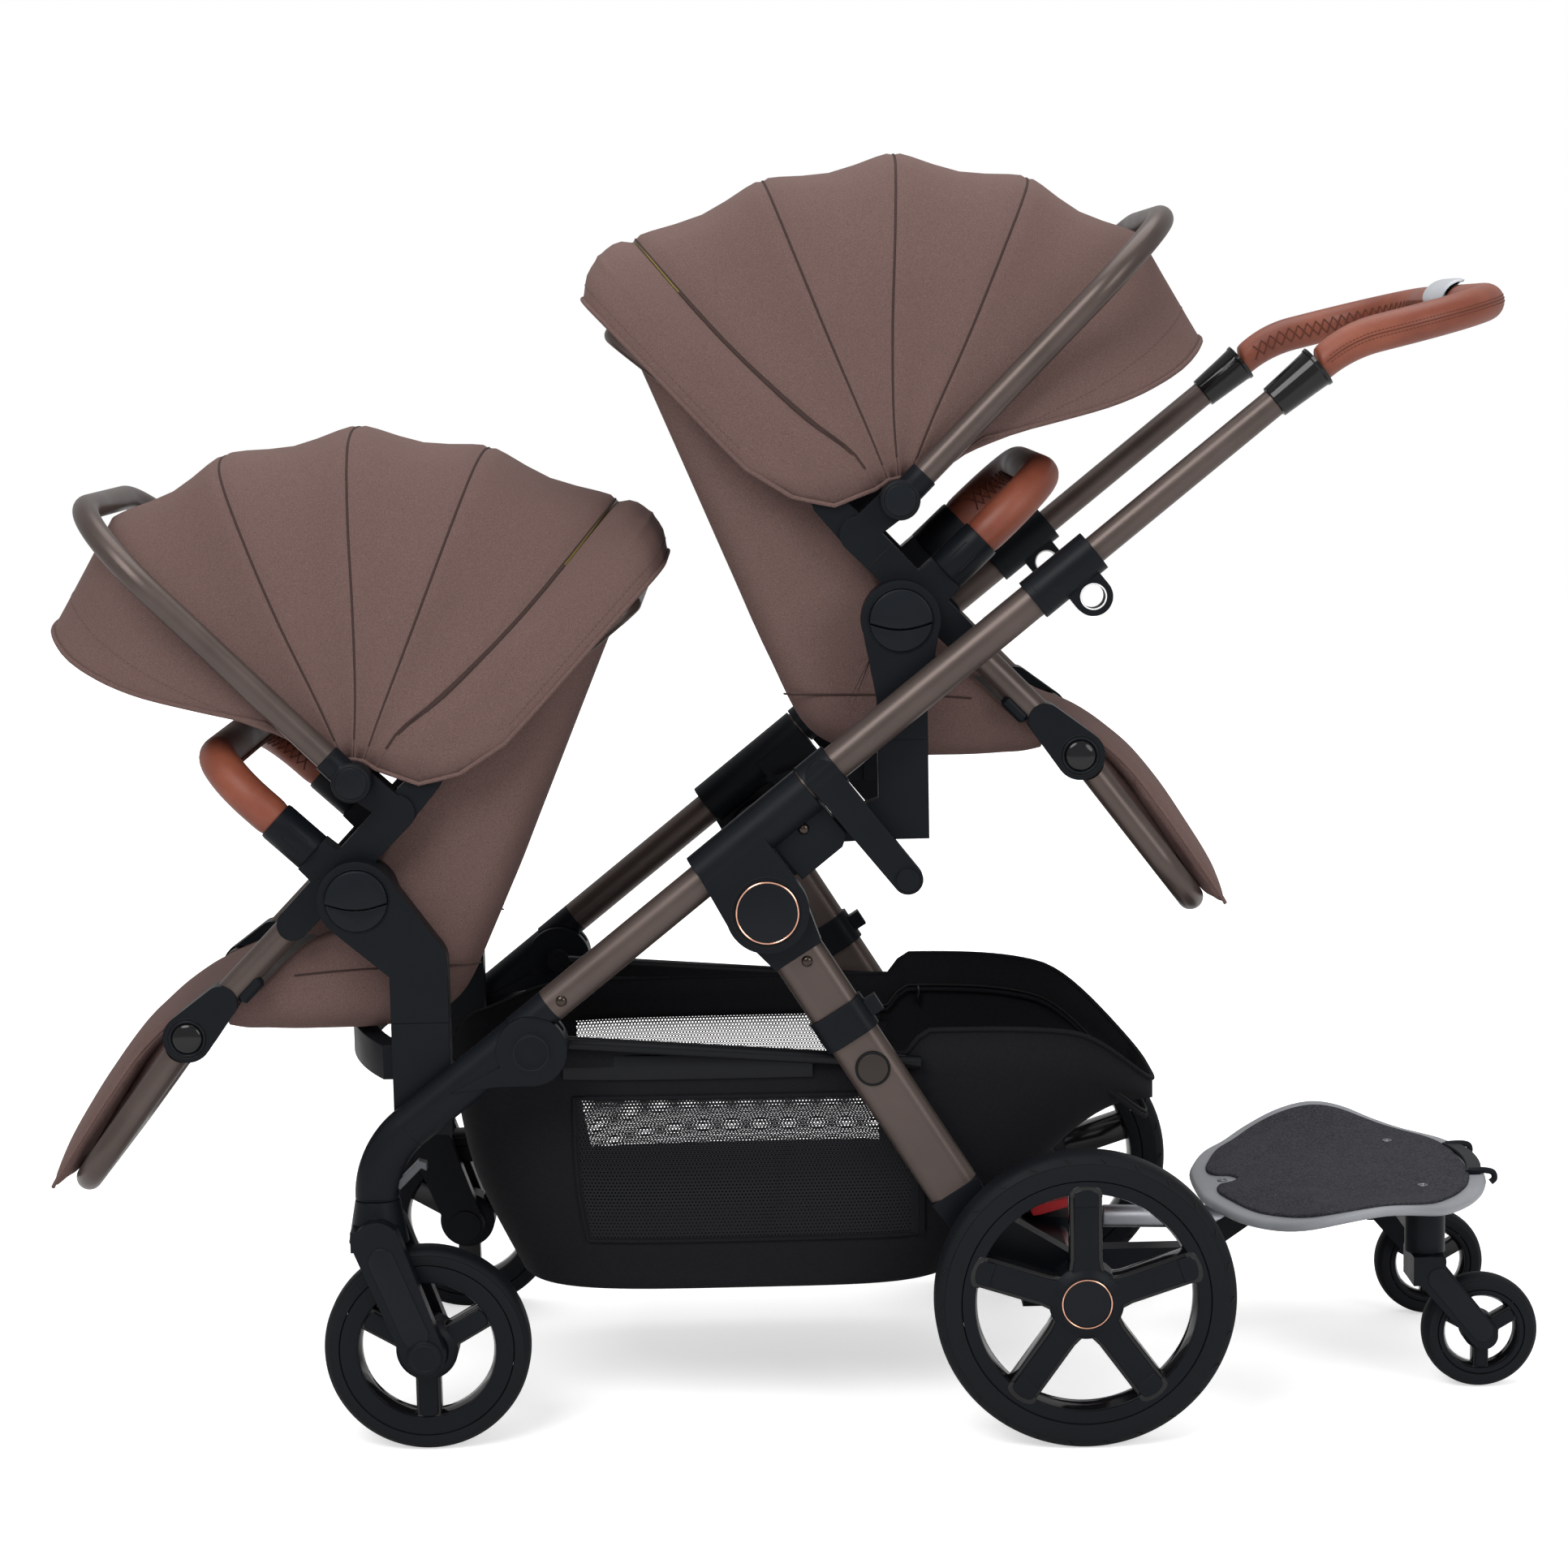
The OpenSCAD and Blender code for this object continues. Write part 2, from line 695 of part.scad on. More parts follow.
module front_arms() {
    chord = adapter_in + 4 * overrun;
    bar_r = (chord * chord + crossbar_bulge * crossbar_bulge) / (2 * crossbar_bulge);
    socket_front = lower_post_x - lower_socket_w / 2;
    neck_end = on_tube(front_pivot_s - seat_gap, leg_offset);
    root = on_tube(-front_leg_len - tube_r / 2, leg_offset + 4) - front_pivot;
    color(black) {
        both() {
            difference() {
                union() {
                    slab(arm_in - neck_step, arm_out + neck_step) {
                        translate(front_pivot) circle(front_lobe_r);
                        polygon([front_pivot + [0, -front_lobe_r], front_pivot - [front_lobe_r, front_lobe_r],
                            mix(neck_start, neck_end, 0.4), front_pivot]);
                    }
                    translate(at3(neck_start - neck_lap * along, arm_y)) rotate([0, 90 - tube_lean, 0])
                        linear_extrude(norm(neck_end - neck_start) + neck_lap)
                            oval(arm_w - neck_step, arm_t - neck_step);
                    translate(at3(neck_centre, arm_y)) rotate([90, 0, 0]) rotate([0, 0, 180 - neck_turn])
                        rotate_extrude(angle = neck_turn) translate([neck_bend, 0]) oval(arm_w, arm_t);
                    translate([swivel_x, arm_y, swivel_z]) linear_extrude(neck_centre[1] - swivel_z + neck_lap)
                        oval(arm_w - neck_step, arm_t - neck_step);
                    translate([socket_front, adapter_in, lower_socket_z0])
                        cube([lower_socket_w, adapter_t + overrun, lower_socket_z1 - lower_socket_z0]);
                    translate([swivel_x, arm_y, swivel_z - swivel_pin_len])
                        cylinder(h = swivel_pin_len + overrun, r = swivel_pin_r);
                }
                slab(arm_y - tongue_t / 2 - seat_gap, arm_y + tongue_t / 2 + seat_gap)
                    for (turn = [0 : fold_arm_turn / 3 : fold_arm_turn]) translate(front_pivot) rotate(-turn)
                        bar([0, 0], root, tongue_r + seat_gap, tube_r / 2 + overrun);
                translate([lower_post_x - plug_w / 2, adapter_in + adapter_t / 2 - plug_t / 2,
                    lower_socket_z1 - plug_len]) cube([plug_w, plug_t, plug_len + overrun]);
                cross_pin(lock_at, arm_y - lock_t / 2 - seat_gap, arm_y + lock_t / 2 + seat_gap, lock_room);
            }
            cross_pin(front_pivot, rail_y - rail_r, arm_out + pivot_cap_t, pivot_pin_r);
            cross_pin(front_pivot, arm_out - overrun, arm_out + pivot_cap_t, pivot_cap_r);
        }
        translate([socket_front + bar_r - crossbar_bulge, 0, crossbar_z]) intersection() {
            rotate_extrude() translate([bar_r, 0]) square([crossbar_t, crossbar_h], center = true);
            translate([-2 * bar_r, -chord, -crossbar_h])
                cube([2 * bar_r - crossbar_bulge, 2 * chord, 2 * crossbar_h]);
        }
    }
}

// Swivel lock lever behind the foot of the arm
lock_at = [swivel_x + arm_w / 2 + 1, swivel_z + 14];
lock_t = 12;
lock_r = 5;
lock_len = 30;
lock_room = 8;

module swivel_lock() {
    r = lock_r;
    tip = lock_at + lock_len * dir(38);
    color(grey) slab(arm_y - lock_t / 2, arm_y + lock_t / 2) polygon([lock_at + [-r, 0], lock_at + [0, r],
        tip + [-r, r], tip + [r / 2, r / 2], tip + [r / 2, -r], tip + [-r / 2, -r / 2], lock_at + [0, -r]]);
}

module swivel_lock_near() {
    near() swivel_lock();
}

module swivel_lock_far() {
    swivel_lock();
}

// Caster forks
fork_gap = 5;
fork_t = 17;
fork_top_r = 23;
fork_end_r = 20;
fork_cap_r = 17;
fork_cap_t = 2;
crown_z = front_wheel_d + 5;
crown_h = 20;
head_r = 29;
front_axle_r = 5;

module front_fork() {
    half = front_tyre_w / 2 + fork_gap;
    top = [swivel_x + 2, crown_z + crown_h / 2 - 4];
    color(black) difference() {
        union() {
            for (y = [arm_y - half - fork_t, arm_y + half]) slab(y, y + fork_t)
                bar(top, front_axle_at, fork_top_r, fork_end_r);
            cross_pin(front_axle_at, arm_y - half - fork_t - fork_cap_t, arm_y - half - fork_t + overrun,
                fork_cap_r);
            cross_pin(front_axle_at, arm_y + half + fork_t - overrun, arm_y + half + fork_t + fork_cap_t,
                fork_cap_r);
            cross_pin(front_axle_at, arm_y - half - overrun, arm_y + half + overrun, front_axle_r);
            translate([swivel_x - fork_top_r, arm_y - half - fork_t, crown_z])
                cube([2 * fork_top_r - 2, 2 * (half + fork_t), crown_h]);
            translate([swivel_x, arm_y, crown_z + overrun])
                cylinder(h = swivel_z - seat_gap - crown_z - overrun, r1 = head_r, r2 = arm_w / 2);
        }
        translate([swivel_x, arm_y, swivel_z - swivel_pin_len - 2 * overrun])
            cylinder(h = 2 * swivel_pin_len, r = swivel_pin_r + run_gap);
    }
}

module front_fork_near() {
    near() front_fork();
}

module front_fork_far() {
    front_fork();
}

module front_rim() {
    color(black) wheel_at(front_axle_at, arm_y)
        rim(front_wheel_d, front_tyre_w * 0.8, front_open_share, front_seat_share, front_hub_r,
            front_tyre_w / 2 + fork_gap - 2, front_tyre_w / 2 + fork_gap - 2, front_spokes, front_spoke_w, -10,
            front_axle_r + run_gap, front_tyre_w);
}

module front_tyre() {
    wheel_at(front_axle_at, arm_y) tyre(front_wheel_d, front_tyre_w, front_seat_share);
}

module front_rim_near() {
    near() front_rim();
}

module front_rim_far() {
    front_rim();
}

module front_tyre_near() {
    near() front_tyre();
}

module front_tyre_far() {
    front_tyre();
}

// Basket and its rails
rail_over = 48;
rail_end = rail_pivot_at + rail_over * (rail_pivot_at - front_pivot) / norm(rail_pivot_at - front_pivot);
rail_eye_r = 12;

module basket_rails() {
    color(black) both() difference() {
        union() {
            rod(at3(front_pivot, rail_y), at3(rail_end, rail_y), rail_r);
            cross_pin(front_pivot, rail_y - rail_r, rail_y + rail_r, rail_eye_r);
        }
        cross_pin(front_pivot, rail_y - rail_d, rail_y + rail_d, pivot_pin_r + run_gap);
    }
}

// Plan outline of the basket: a rounded front and a rear pocket that bows backwards
basket_sides = 28;
basket_wall_low = 2;
basket_front_lip = 66;
basket_front_top = front_pivot[0] - basket_front_lip;
basket_front_low = front_pivot[0] + basket_wall_low;
basket_back_gap = 139;
basket_back_low = rear_axle_x - basket_back_gap;
basket_wall = 3;
basket_rim_lift = 5;
basket_rim_z = rail_pivot_at[1] + basket_rim_lift;
basket_band = 20;
basket_waist_drop = 40;
basket_waist_share = 0.62;
basket_floor_share = 0.9;
basket_middle_share = 0.98;
pocket_drop = 66;

function basket_ring(x0, x1, half, z, tip_drop, inset) = [
    for (i = [0 : basket_sides - 1])
        let (a = 360 * (i + 0.5) / basket_sides)
        let (c = cos(a), s = sin(a))
        let (px = sign(c) * pow(abs(c), 0.5), py = sign(s) * pow(abs(s), 0.5))
        [mix(x0, x1, 0.5) + px * ((x1 - x0) / 2 - inset),
            py * (half - inset) * (c > 0 ? 1 - 0.3 * pow(c, 4) : 1),
            z - tip_drop * pow(max(0, c), 3)]
];

module basket() {
    back = rail_end[0] + pocket_reach;
    middle_z = mix(basket_z, basket_rim_z, basket_waist_share) - basket_waist_drop;
    middle_front = mix(basket_front_low, basket_front_top, 0.5);
    middle_back = mix(basket_back_low, back, basket_waist_share);
    middle_half = basket_half * basket_middle_share;
    floor_half = basket_half * basket_floor_share;
    inset = basket_wall * 1.5;
    color(soft_black) loft([
        basket_ring(basket_front_low, basket_back_low, floor_half, basket_z, 0, 0),
        basket_ring(middle_front, middle_back, middle_half, middle_z, -pocket_drop / 2, 0),
        basket_ring(basket_front_top, back, basket_half, basket_rim_z - basket_band, pocket_drop, 0),
        basket_ring(basket_front_top, back, basket_half, basket_rim_z, pocket_drop, 0),
        basket_ring(basket_front_top, back, basket_half, basket_rim_z, pocket_drop, basket_wall),
        basket_ring(middle_front, middle_back, middle_half, middle_z + basket_wall, -pocket_drop / 2, inset),
        basket_ring(basket_front_low, basket_back_low, floor_half, basket_z + basket_wall, 0, inset)
    ], false);
}

// Seat adapters
hub_r = hub_d / 2;
hub_bore_r = 10;
button_r = 29;
button_deep = 8;
button_proud = 5;

module adapter_pocket(p) {
    cross_pin(p, 0, adapter_out - button_deep - 4, hub_bore_r + run_gap);
    cross_pin(p, adapter_out - button_deep, adapter_out + overrun, button_r + run_gap);
}

module upper_adapters() {
    hub = [upper_hub_x, upper_hub_z];
    color(black) both() difference() {
        union() {
            slab(adapter_in, adapter_out) {
                translate(hub) circle(hub_r);
                polygon([hub + [-hub_r, 0], hub + [hub_r, 0], [upper_hub_x + socket_w / 2, upper_hub_z - hub_d],
                    [upper_hub_x + socket_w / 2, socket_z1], [upper_hub_x - socket_w / 2, socket_z1],
                    [upper_hub_x - socket_w / 2, upper_hub_z - hub_d]]);
            }
            translate([upper_hub_x - plug_w / 2 + seat_gap, adapter_in + adapter_t / 2 - plug_t / 2 + seat_gap,
                socket_z1 - plug_len + seat_gap])
                cube([plug_w - 2 * seat_gap, plug_t - 2 * seat_gap, plug_len]);
        }
        adapter_pocket(hub);
    }
}

module lower_adapters() {
    hub = [lower_hub_x, lower_hub_z];
    elbow = [lower_post_x, lower_hub_z - lower_elbow_drop];
    color(black) both() difference() {
        union() {
            slab(adapter_in, adapter_out) {
                bar(hub, elbow, hub_r, lower_socket_w / 2);
                translate([lower_post_x - lower_socket_w / 2, lower_socket_z1])
                    square([lower_socket_w, elbow[1] - lower_socket_z1]);
            }
            translate([lower_post_x - plug_w / 2 + seat_gap, adapter_in + adapter_t / 2 - plug_t / 2 + seat_gap,
                lower_socket_z1 - plug_len + seat_gap])
                cube([plug_w - 2 * seat_gap, plug_t - 2 * seat_gap, plug_len]);
        }
        adapter_pocket(hub);
    }
}

// Seat, drawn about its hub with the child facing +x
seat_axis = -45.8;
seat_line_x = -39;
seat_line_z = 81;
seat_line = [seat_line_x, seat_line_z];
seat_len = 303;
seat_tail = 42;
seat_top = seat_line - seat_tail * dir(seat_axis);
seat_joint = seat_line + seat_len * dir(seat_axis);
back_top_x = -269;
back_top_z = 274;
back_top = [back_top_x, back_top_z];
back_bend = 25;
back_tube_r = 9;
back_step = 16;
back_y = seat_y - back_step;
hood_pivot_x = 1;
hood_pivot_z = 114;
hood_pivot = [hood_pivot_x, hood_pivot_z];
hood_knuckle_r = 18.5;
bow_r = bow_d / 2;
bow_y = adapter_in + bow_r + seat_gap;
bow_lean = 45;
bow_bend = 115;
bumper_lean = 43;
bumper_base = 62;
bumper_join = 109;
bumper_reach = 84;
bumper_bend = 62;
bumper_r = bumper_d / 2;
bumper_ring = 3;
leg_lean_rest = -53;
leg_rest_bend = 60;
leg_button_r = 15;
leg_button_deep = 7;
leg_button_proud = 2;
joint_r = 24;
tube_in = 45;
bumper_root = 46;
bracket_root_share = 0.6;
sleeve_extra = 4;
sleeve_len = 150;

module on_upper() {
    translate([upper_hub_x, 0, upper_hub_z]) children();
}

module on_lower() {
    translate([lower_hub_x, 0, lower_hub_z]) rotate([0, 0, 180]) children();
}

module seat_tubes() {
    color(bronze) {
        both() difference() {
            rod(at3(seat_line + tube_in * dir(seat_axis), seat_y),
                at3(seat_joint - (joint_r + overrun) * dir(seat_axis), seat_y), seat_tube_r);
            rod(at3(seat_line, seat_y), at3(seat_joint, seat_y), seat_tube_r - tube_wall);
        }
        lean = atan2(back_top[1] - seat_top[1], seat_top[0] - back_top[0]);
        translate(at3(seat_top, 0)) rotate([0, 0, 180]) rotate([0, -lean, 0])
            hoop(norm(back_top - seat_top), back_y, back_bend, back_tube_r);
    }
}

module seat_brackets() {
    bumper_at = bumper_base * dir(bumper_lean);
    across = dir(bumper_lean + 90);
    color(black) both() {
        difference() {
            union() {
                cross_pin([0, 0], bracket_in, bracket_out, hub_r - 2);
                cross_pin([0, 0], bracket_out - overrun, adapter_out - button_deep - 6, hub_bore_r);
                slab(bracket_in, bracket_out) {
                    bar(seat_line, seat_line + sleeve_len * dir(seat_axis), seat_tube_r + sleeve_extra,
                        seat_tube_r + sleeve_extra / 2);
                    polygon([bracket_root_share * hub_r * across, bumper_at + bumper_r * across,
                        bumper_at - bumper_r * across, -bracket_root_share * hub_r * across]);
                    bar(seat_line, hood_pivot, seat_tube_r, hood_knuckle_r - 2);
                    bar(seat_joint, seat_joint - 2 * joint_r * dir(seat_axis), joint_r, seat_tube_r + sleeve_extra * 0.75);
                }
                slab(bracket_in, hood_half - hood_wall - soft_gap)
                    bar(seat_top, seat_line, seat_tube_r, seat_tube_r + sleeve_extra - overrun);
                cross_pin(hood_pivot, bracket_out - overrun, bow_y + bow_r - 2, pivot_pin_r);
            }
            rod(at3(seat_line + tube_in * dir(seat_axis), seat_y),
                at3(seat_joint - joint_r * dir(seat_axis), seat_y), seat_tube_r + run_gap);
            rod(at3(bumper_root * dir(bumper_lean), seat_y), at3(2 * bumper_at, seat_y), bumper_r / 2 + run_gap);
            rod(at3(seat_top, back_y), at3(back_top, back_y), back_tube_r + run_gap);
            cross_pin(seat_joint, bracket_out - leg_button_deep, bracket_out + overrun, leg_button_r + run_gap);
            cross_pin(seat_joint, bracket_in - overrun, seat_y + seat_tube_r / 3, joint_r + overrun);
        }
        cross_pin(seat_joint, bracket_in, seat_y + seat_tube_r / 3 + overrun, pivot_pin_r);
    }
}

// Padded bucket: U-shaped sections along the back, the hip and the seat
shell_t = 24;
shell_side_t = 14;
shell_seat_half = bracket_in - soft_gap;
shell_back_half = back_y - back_tube_r - soft_gap;
shell_round = 14;
// Each station: x, z in shares of the seat's length, lean of the inward normal in degrees,
// height of its side as such a share, share of the seat's half width
shell_shares = [
    [-0.8647, 0.9373, 24, 0.132, 0], [-0.6931, 0.5281, 23, 0.2574, 0], [-0.5281, 0.132, 23, 0.396, 0], [-0.4158, -0.132, 28, 0.495, 0.8],
    [-0.2904, -0.3696, 52, 0.495, 1], [-0.099, -0.4521, 84, 0.495, 1], [0.165, -0.4653, 90, 0.3168, 1], [0.363, -0.4587, 92, 0.1452, 1],
    [0.4554, -0.4422, 96, 0.1122, 1]
];

function shell_ring(st) = let (
    half = mix(shell_back_half, shell_seat_half, st[4]),
    up = dir(st[2]), wall = half - shell_side_t, high = st[3] * seat_len,
    outline = [[half, high], [half, shell_round], [half - shell_round, 0], [-half + shell_round, 0],
        [-half, shell_round], [-half, high], [-wall, high], [-wall, shell_t + shell_round],
        [-wall + shell_round, shell_t], [wall - shell_round, shell_t], [wall, shell_t + shell_round], [wall, high]]
) [for (p = outline) [st[0] * seat_len + p[1] * up[0], p[0], st[1] * seat_len + p[1] * up[1]]];

module seat_shell() {
    color(mocha) loft([for (st = shell_shares) shell_ring(st)]);
}

// Hood: arched ribs that fan out from the pivot, with the cloth drawn in between them
hood_half = bow_y - bow_r - soft_gap;
hood_wall = 4;
hood_steps = 14;
hood_sag_share = 0.97;
// Each rib: foot and crown from the hood's pivot in shares of the bow's reach, and the squareness of its arch
rib_shares = [
    [[-0.1887, -0.0108], [-0.8113, 0.5283], 6], [[-0.0593, 0.027], [-0.6792, 0.69], 3.2], [[-0.027, 0.0485], [-0.3342, 0.8383], 2.7],
    [[0, 0.0539], [0.0189, 0.903], 2.6], [[0.027, 0.0485], [0.3774, 0.8329], 2.6], [[0.0539, 0.0323], [0.6739, 0.6739], 2.7],
    [[0.221, 0.1509], [0.7817, 0.3612], 2.8]
];
hood_ribs = [for (rib = rib_shares) [rib[0] * bow_reach, rib[1] * bow_reach, rib[2]]];

function hood_mid(a, b) = [mix(a[0], b[0], 0.5), mix(a[1], b[1], 0.5) * hood_sag_share, mix(a[2], b[2], 0.5)];
function arch(t, square) = pow(abs(t), 2 / square);
function hood_side(rib, inset, turn) = [
    for (i = [0 : hood_steps])
        let (a = turn > 0 ? 180 * i / hood_steps : 180 - 180 * i / hood_steps)
        let (rise = arch(sin(a), rib[2]), p = mix(rib[0], rib[1] * (1 - inset / norm(rib[1])), rise))
        [hood_pivot[0] + p[0], sign(cos(a)) * arch(cos(a), rib[2]) * (hood_half - inset), hood_pivot[1] + p[1]]
];
function hood_ring(rib) = concat(hood_side(rib, 0, 1), hood_side(rib, hood_wall, -1));

module canopy_cover() {
    last = len(hood_ribs) - 1;
    ribs = [for (i = [0 : last]) each (i > 0 && i < last - 1)
        ? [hood_ribs[i], hood_mid(hood_ribs[i], hood_ribs[i + 1])] : [hood_ribs[i]]];
    color(mocha) loft([for (rib = ribs) hood_ring(rib)]);
}

module canopy_bow() {
    color(bronze) difference() {
        union() {
            translate(at3(hood_pivot, 0)) rotate([0, -bow_lean, 0]) hoop(bow_reach, bow_y, bow_bend, bow_r);
            both() cross_pin(hood_pivot, bow_y - bow_r, bow_y + bow_r, hood_knuckle_r);
        }
        both() cross_pin(hood_pivot, bow_y - bow_d, bow_y + bow_r - 2, pivot_pin_r + run_gap);
    }
}

module leg_rest_tube() {
    color(bronze) difference() {
        union() {
            translate(at3(seat_joint, 0)) rotate([0, -leg_lean_rest, 0]) hoop(leg_rest_len, seat_y, leg_rest_bend, leg_rest_d / 2);
            both() cross_pin(seat_joint, seat_y - leg_rest_d / 2, seat_y + seat_tube_r / 3 - seat_gap, joint_r - 2);
        }
        both() cross_pin(seat_joint, seat_y + seat_tube_r / 3 - seat_gap, tube_y, joint_r + 2 * overrun);
        both() cross_pin(seat_joint, 0, tube_y, pivot_pin_r + run_gap);
    }
}

// Leg-rest pad on top of its loop, fuller in the middle
pad_half = seat_y - leg_rest_d / 2 - seat_gap;
// Each station in shares of the loop: distance down it, lift of the underside, thickness; then of the half width
pad_shares = [[0.1789, -0.0105, 0.0947, 1], [0.3158, -0.0211, 0.2105, 1], [0.5789, -0.0211, 0.2211, 1], [0.7895, -0.0211, 0.2, 0.92], [0.9105, -0.0211, 0.1158, 0.78]];

function pad_ring(st) = let (
    t = st[2] * leg_rest_len, lift = st[1] * leg_rest_len, half = pad_half * st[3],
    outline = [[half, lift + t * 0.12], [half, lift + t * 0.6], [half * 0.9, lift + t * 0.95],
        [0, lift + t * 1.1], [-half * 0.9, lift + t * 0.95], [-half, lift + t * 0.6],
        [-half, lift + t * 0.12], [-half * 0.92, lift], [0, lift], [half * 0.92, lift]]
) [for (p = outline) [st[0] * leg_rest_len, p[0], p[1]]];

module leg_rest_pad() {
    color(mocha) translate(at3(seat_joint, 0)) rotate([0, -leg_lean_rest, 0])
        loft([for (i = [len(pad_shares) - 1 : -1 : 0]) pad_ring(pad_shares[i])]);
}

module bumper_bar() {
    color(tan_leather) translate(at3(bumper_base * dir(bumper_lean), 0)) rotate([0, -bumper_lean, 0]) {
        both() {
            rod([bumper_root - bumper_base + overrun, seat_y, 0], [overrun, seat_y, 0], bumper_r / 2);
            rod([seat_gap, seat_y, 0], [bumper_join - bumper_base, seat_y, 0], bumper_r + bumper_ring / 2);
        }
        translate([bumper_join - bumper_base, 0, 0]) hoop(bumper_reach, seat_y, bumper_bend, bumper_r);
    }
}

// Release buttons
module hub_button() {
    color(black) slab(adapter_out - button_deep + button_proud - seat_gap, adapter_out + button_proud) difference() {
        circle(button_r);
        translate([-hub_d, -hub_d - button_r / 4]) square([2 * hub_d, hub_d]);
    }
}

module leg_button() {
    color(soft_black) cross_pin(seat_joint, bracket_out - leg_button_deep + leg_button_proud + overrun,
        bracket_out + leg_button_proud, leg_button_r);
}

module upper_seat_tubes() {
    on_upper() seat_tubes();
}

module upper_seat_brackets() {
    on_upper() seat_brackets();
}

module upper_seat_shell() {
    on_upper() seat_shell();
}

module upper_canopy_cover() {
    on_upper() canopy_cover();
}

module upper_canopy_bow() {
    on_upper() canopy_bow();
}

module upper_leg_rest_tube() {
    on_upper() leg_rest_tube();
}

module upper_leg_rest_pad() {
    on_upper() leg_rest_pad();
}

module upper_bumper_bar() {
    on_upper() bumper_bar();
}

module upper_hub_button_near() {
    on_upper() near() hub_button();
}

module upper_hub_button_far() {
    on_upper() hub_button();
}

module upper_leg_button_near() {
    on_upper() near() leg_button();
}

module upper_leg_button_far() {
    on_upper() leg_button();
}

module lower_seat_tubes() {
    on_lower() seat_tubes();
}

module lower_seat_brackets() {
    on_lower() seat_brackets();
}

module lower_seat_shell() {
    on_lower() seat_shell();
}

module lower_canopy_cover() {
    on_lower() canopy_cover();
}

module lower_canopy_bow() {
    on_lower() canopy_bow();
}

module lower_leg_rest_tube() {
    on_lower() leg_rest_tube();
}

module lower_leg_rest_pad() {
    on_lower() leg_rest_pad();
}

module lower_bumper_bar() {
    on_lower() bumper_bar();
}

// The lower seat is turned round, so its own +y side is the stroller's near side
module lower_hub_button_near() {
    on_lower() hub_button();
}

module lower_hub_button_far() {
    on_lower() near() hub_button();
}

module lower_leg_button_near() {
    on_lower() leg_button();
}

module lower_leg_button_far() {
    on_lower() near() leg_button();
}

// Ride-on board: a tilted deck with raised wings on a black underframe
deck_t = 10;
deck_behind = 143;
deck_x0 = rear_axle_x + deck_behind;
deck_x1 = deck_x0 + deck_len;
deck_tilt = 3.7;
grip_inset = 17;
pad_gap = 1.6;
grip_t = 2;
tow_pin_x = pod_x;
tow_pin_r = 8;
tow_pin_in = 11;
tow_tube_r = 11;
tow_half = 13;
tow_drop = 18;
tow_z = pod_z0 - tow_drop;
tow_boss_r = 24;
tow_boss_h = 22;
caster_behind = 358;
caster_x = rear_axle_x + caster_behind;
caster_trail = 55;
caster_axle = [caster_x + caster_trail, board_wheel_d / 2];
caster_pin_r = 6;
caster_head_r = 20;
caster_head_drop = 60;
caster_head_z = deck_z - caster_head_drop;
caster_pin_len = 26;
board_crown_h = 30;
board_fork_r = 16;
board_fork_end_r = 14;
board_fork_gap = 3;
board_hub_out = 2;
board_spoke_w = 18;
board_open_share = 0.65;
board_seat_share = 1;
board_wheel_w = 30;
board_fork_t = 9;
board_axle_r = 4;
wing_rise = 24;
deck_crown = 2;
// Half width of the deck and height of its raised wings, as shares, along its length
deck_shares = [
    [0, 0.17, 0], [0.03, 0.36, 0], [0.09, 0.58, 0], [0.17, 0.73, 0.05], [0.27, 0.88, 0.4], [0.4, 0.975, 0.8],
    [0.54, 1, 1], [0.66, 0.95, 0.85], [0.76, 0.83, 0.5], [0.84, 0.7, 0.2], [0.91, 0.57, 0], [0.965, 0.42, 0], [1, 0.2, 0]
];
across_shares = [-1, -0.86, -0.7, -0.5, 0, 0.5, 0.7, 0.86, 1];

rise_along = [for (st = deck_shares) [mix(deck_x0, deck_x1, st[0]), st[2]]];

function wing(y) = wing_rise * pow(max(0, abs(y) - deck_w * 0.2) / (deck_w * 0.3), 1.6);
function deck_top(x, y) = deck_z - (deck_x1 - x) * tan(deck_tilt)
    - deck_crown * pow(2 * y / deck_w, 2) + lookup(x, rise_along) * wing(y);
function deck_ring(st, inset, z0, z1) = let (
    x = mix(deck_x0 + inset, deck_x1 - inset, st[0]), half = st[1] * deck_w / 2 - inset)
    concat([for (share = across_shares) [x, share * half, deck_top(x, share * half) + z0]],
        [for (i = [len(across_shares) - 1 : -1 : 0]) let (share = across_shares[i])
            [x, share * half, deck_top(x, share * half) + z1]]);

module board_deck() {
    color(grey) loft([for (st = deck_shares) deck_ring(st, 0, -deck_t, 0)]);
}

module board_grip_pad() {
    color(soft_black) loft([for (st = deck_shares) deck_ring(st, grip_inset, pad_gap, pad_gap + grip_t)]);
}

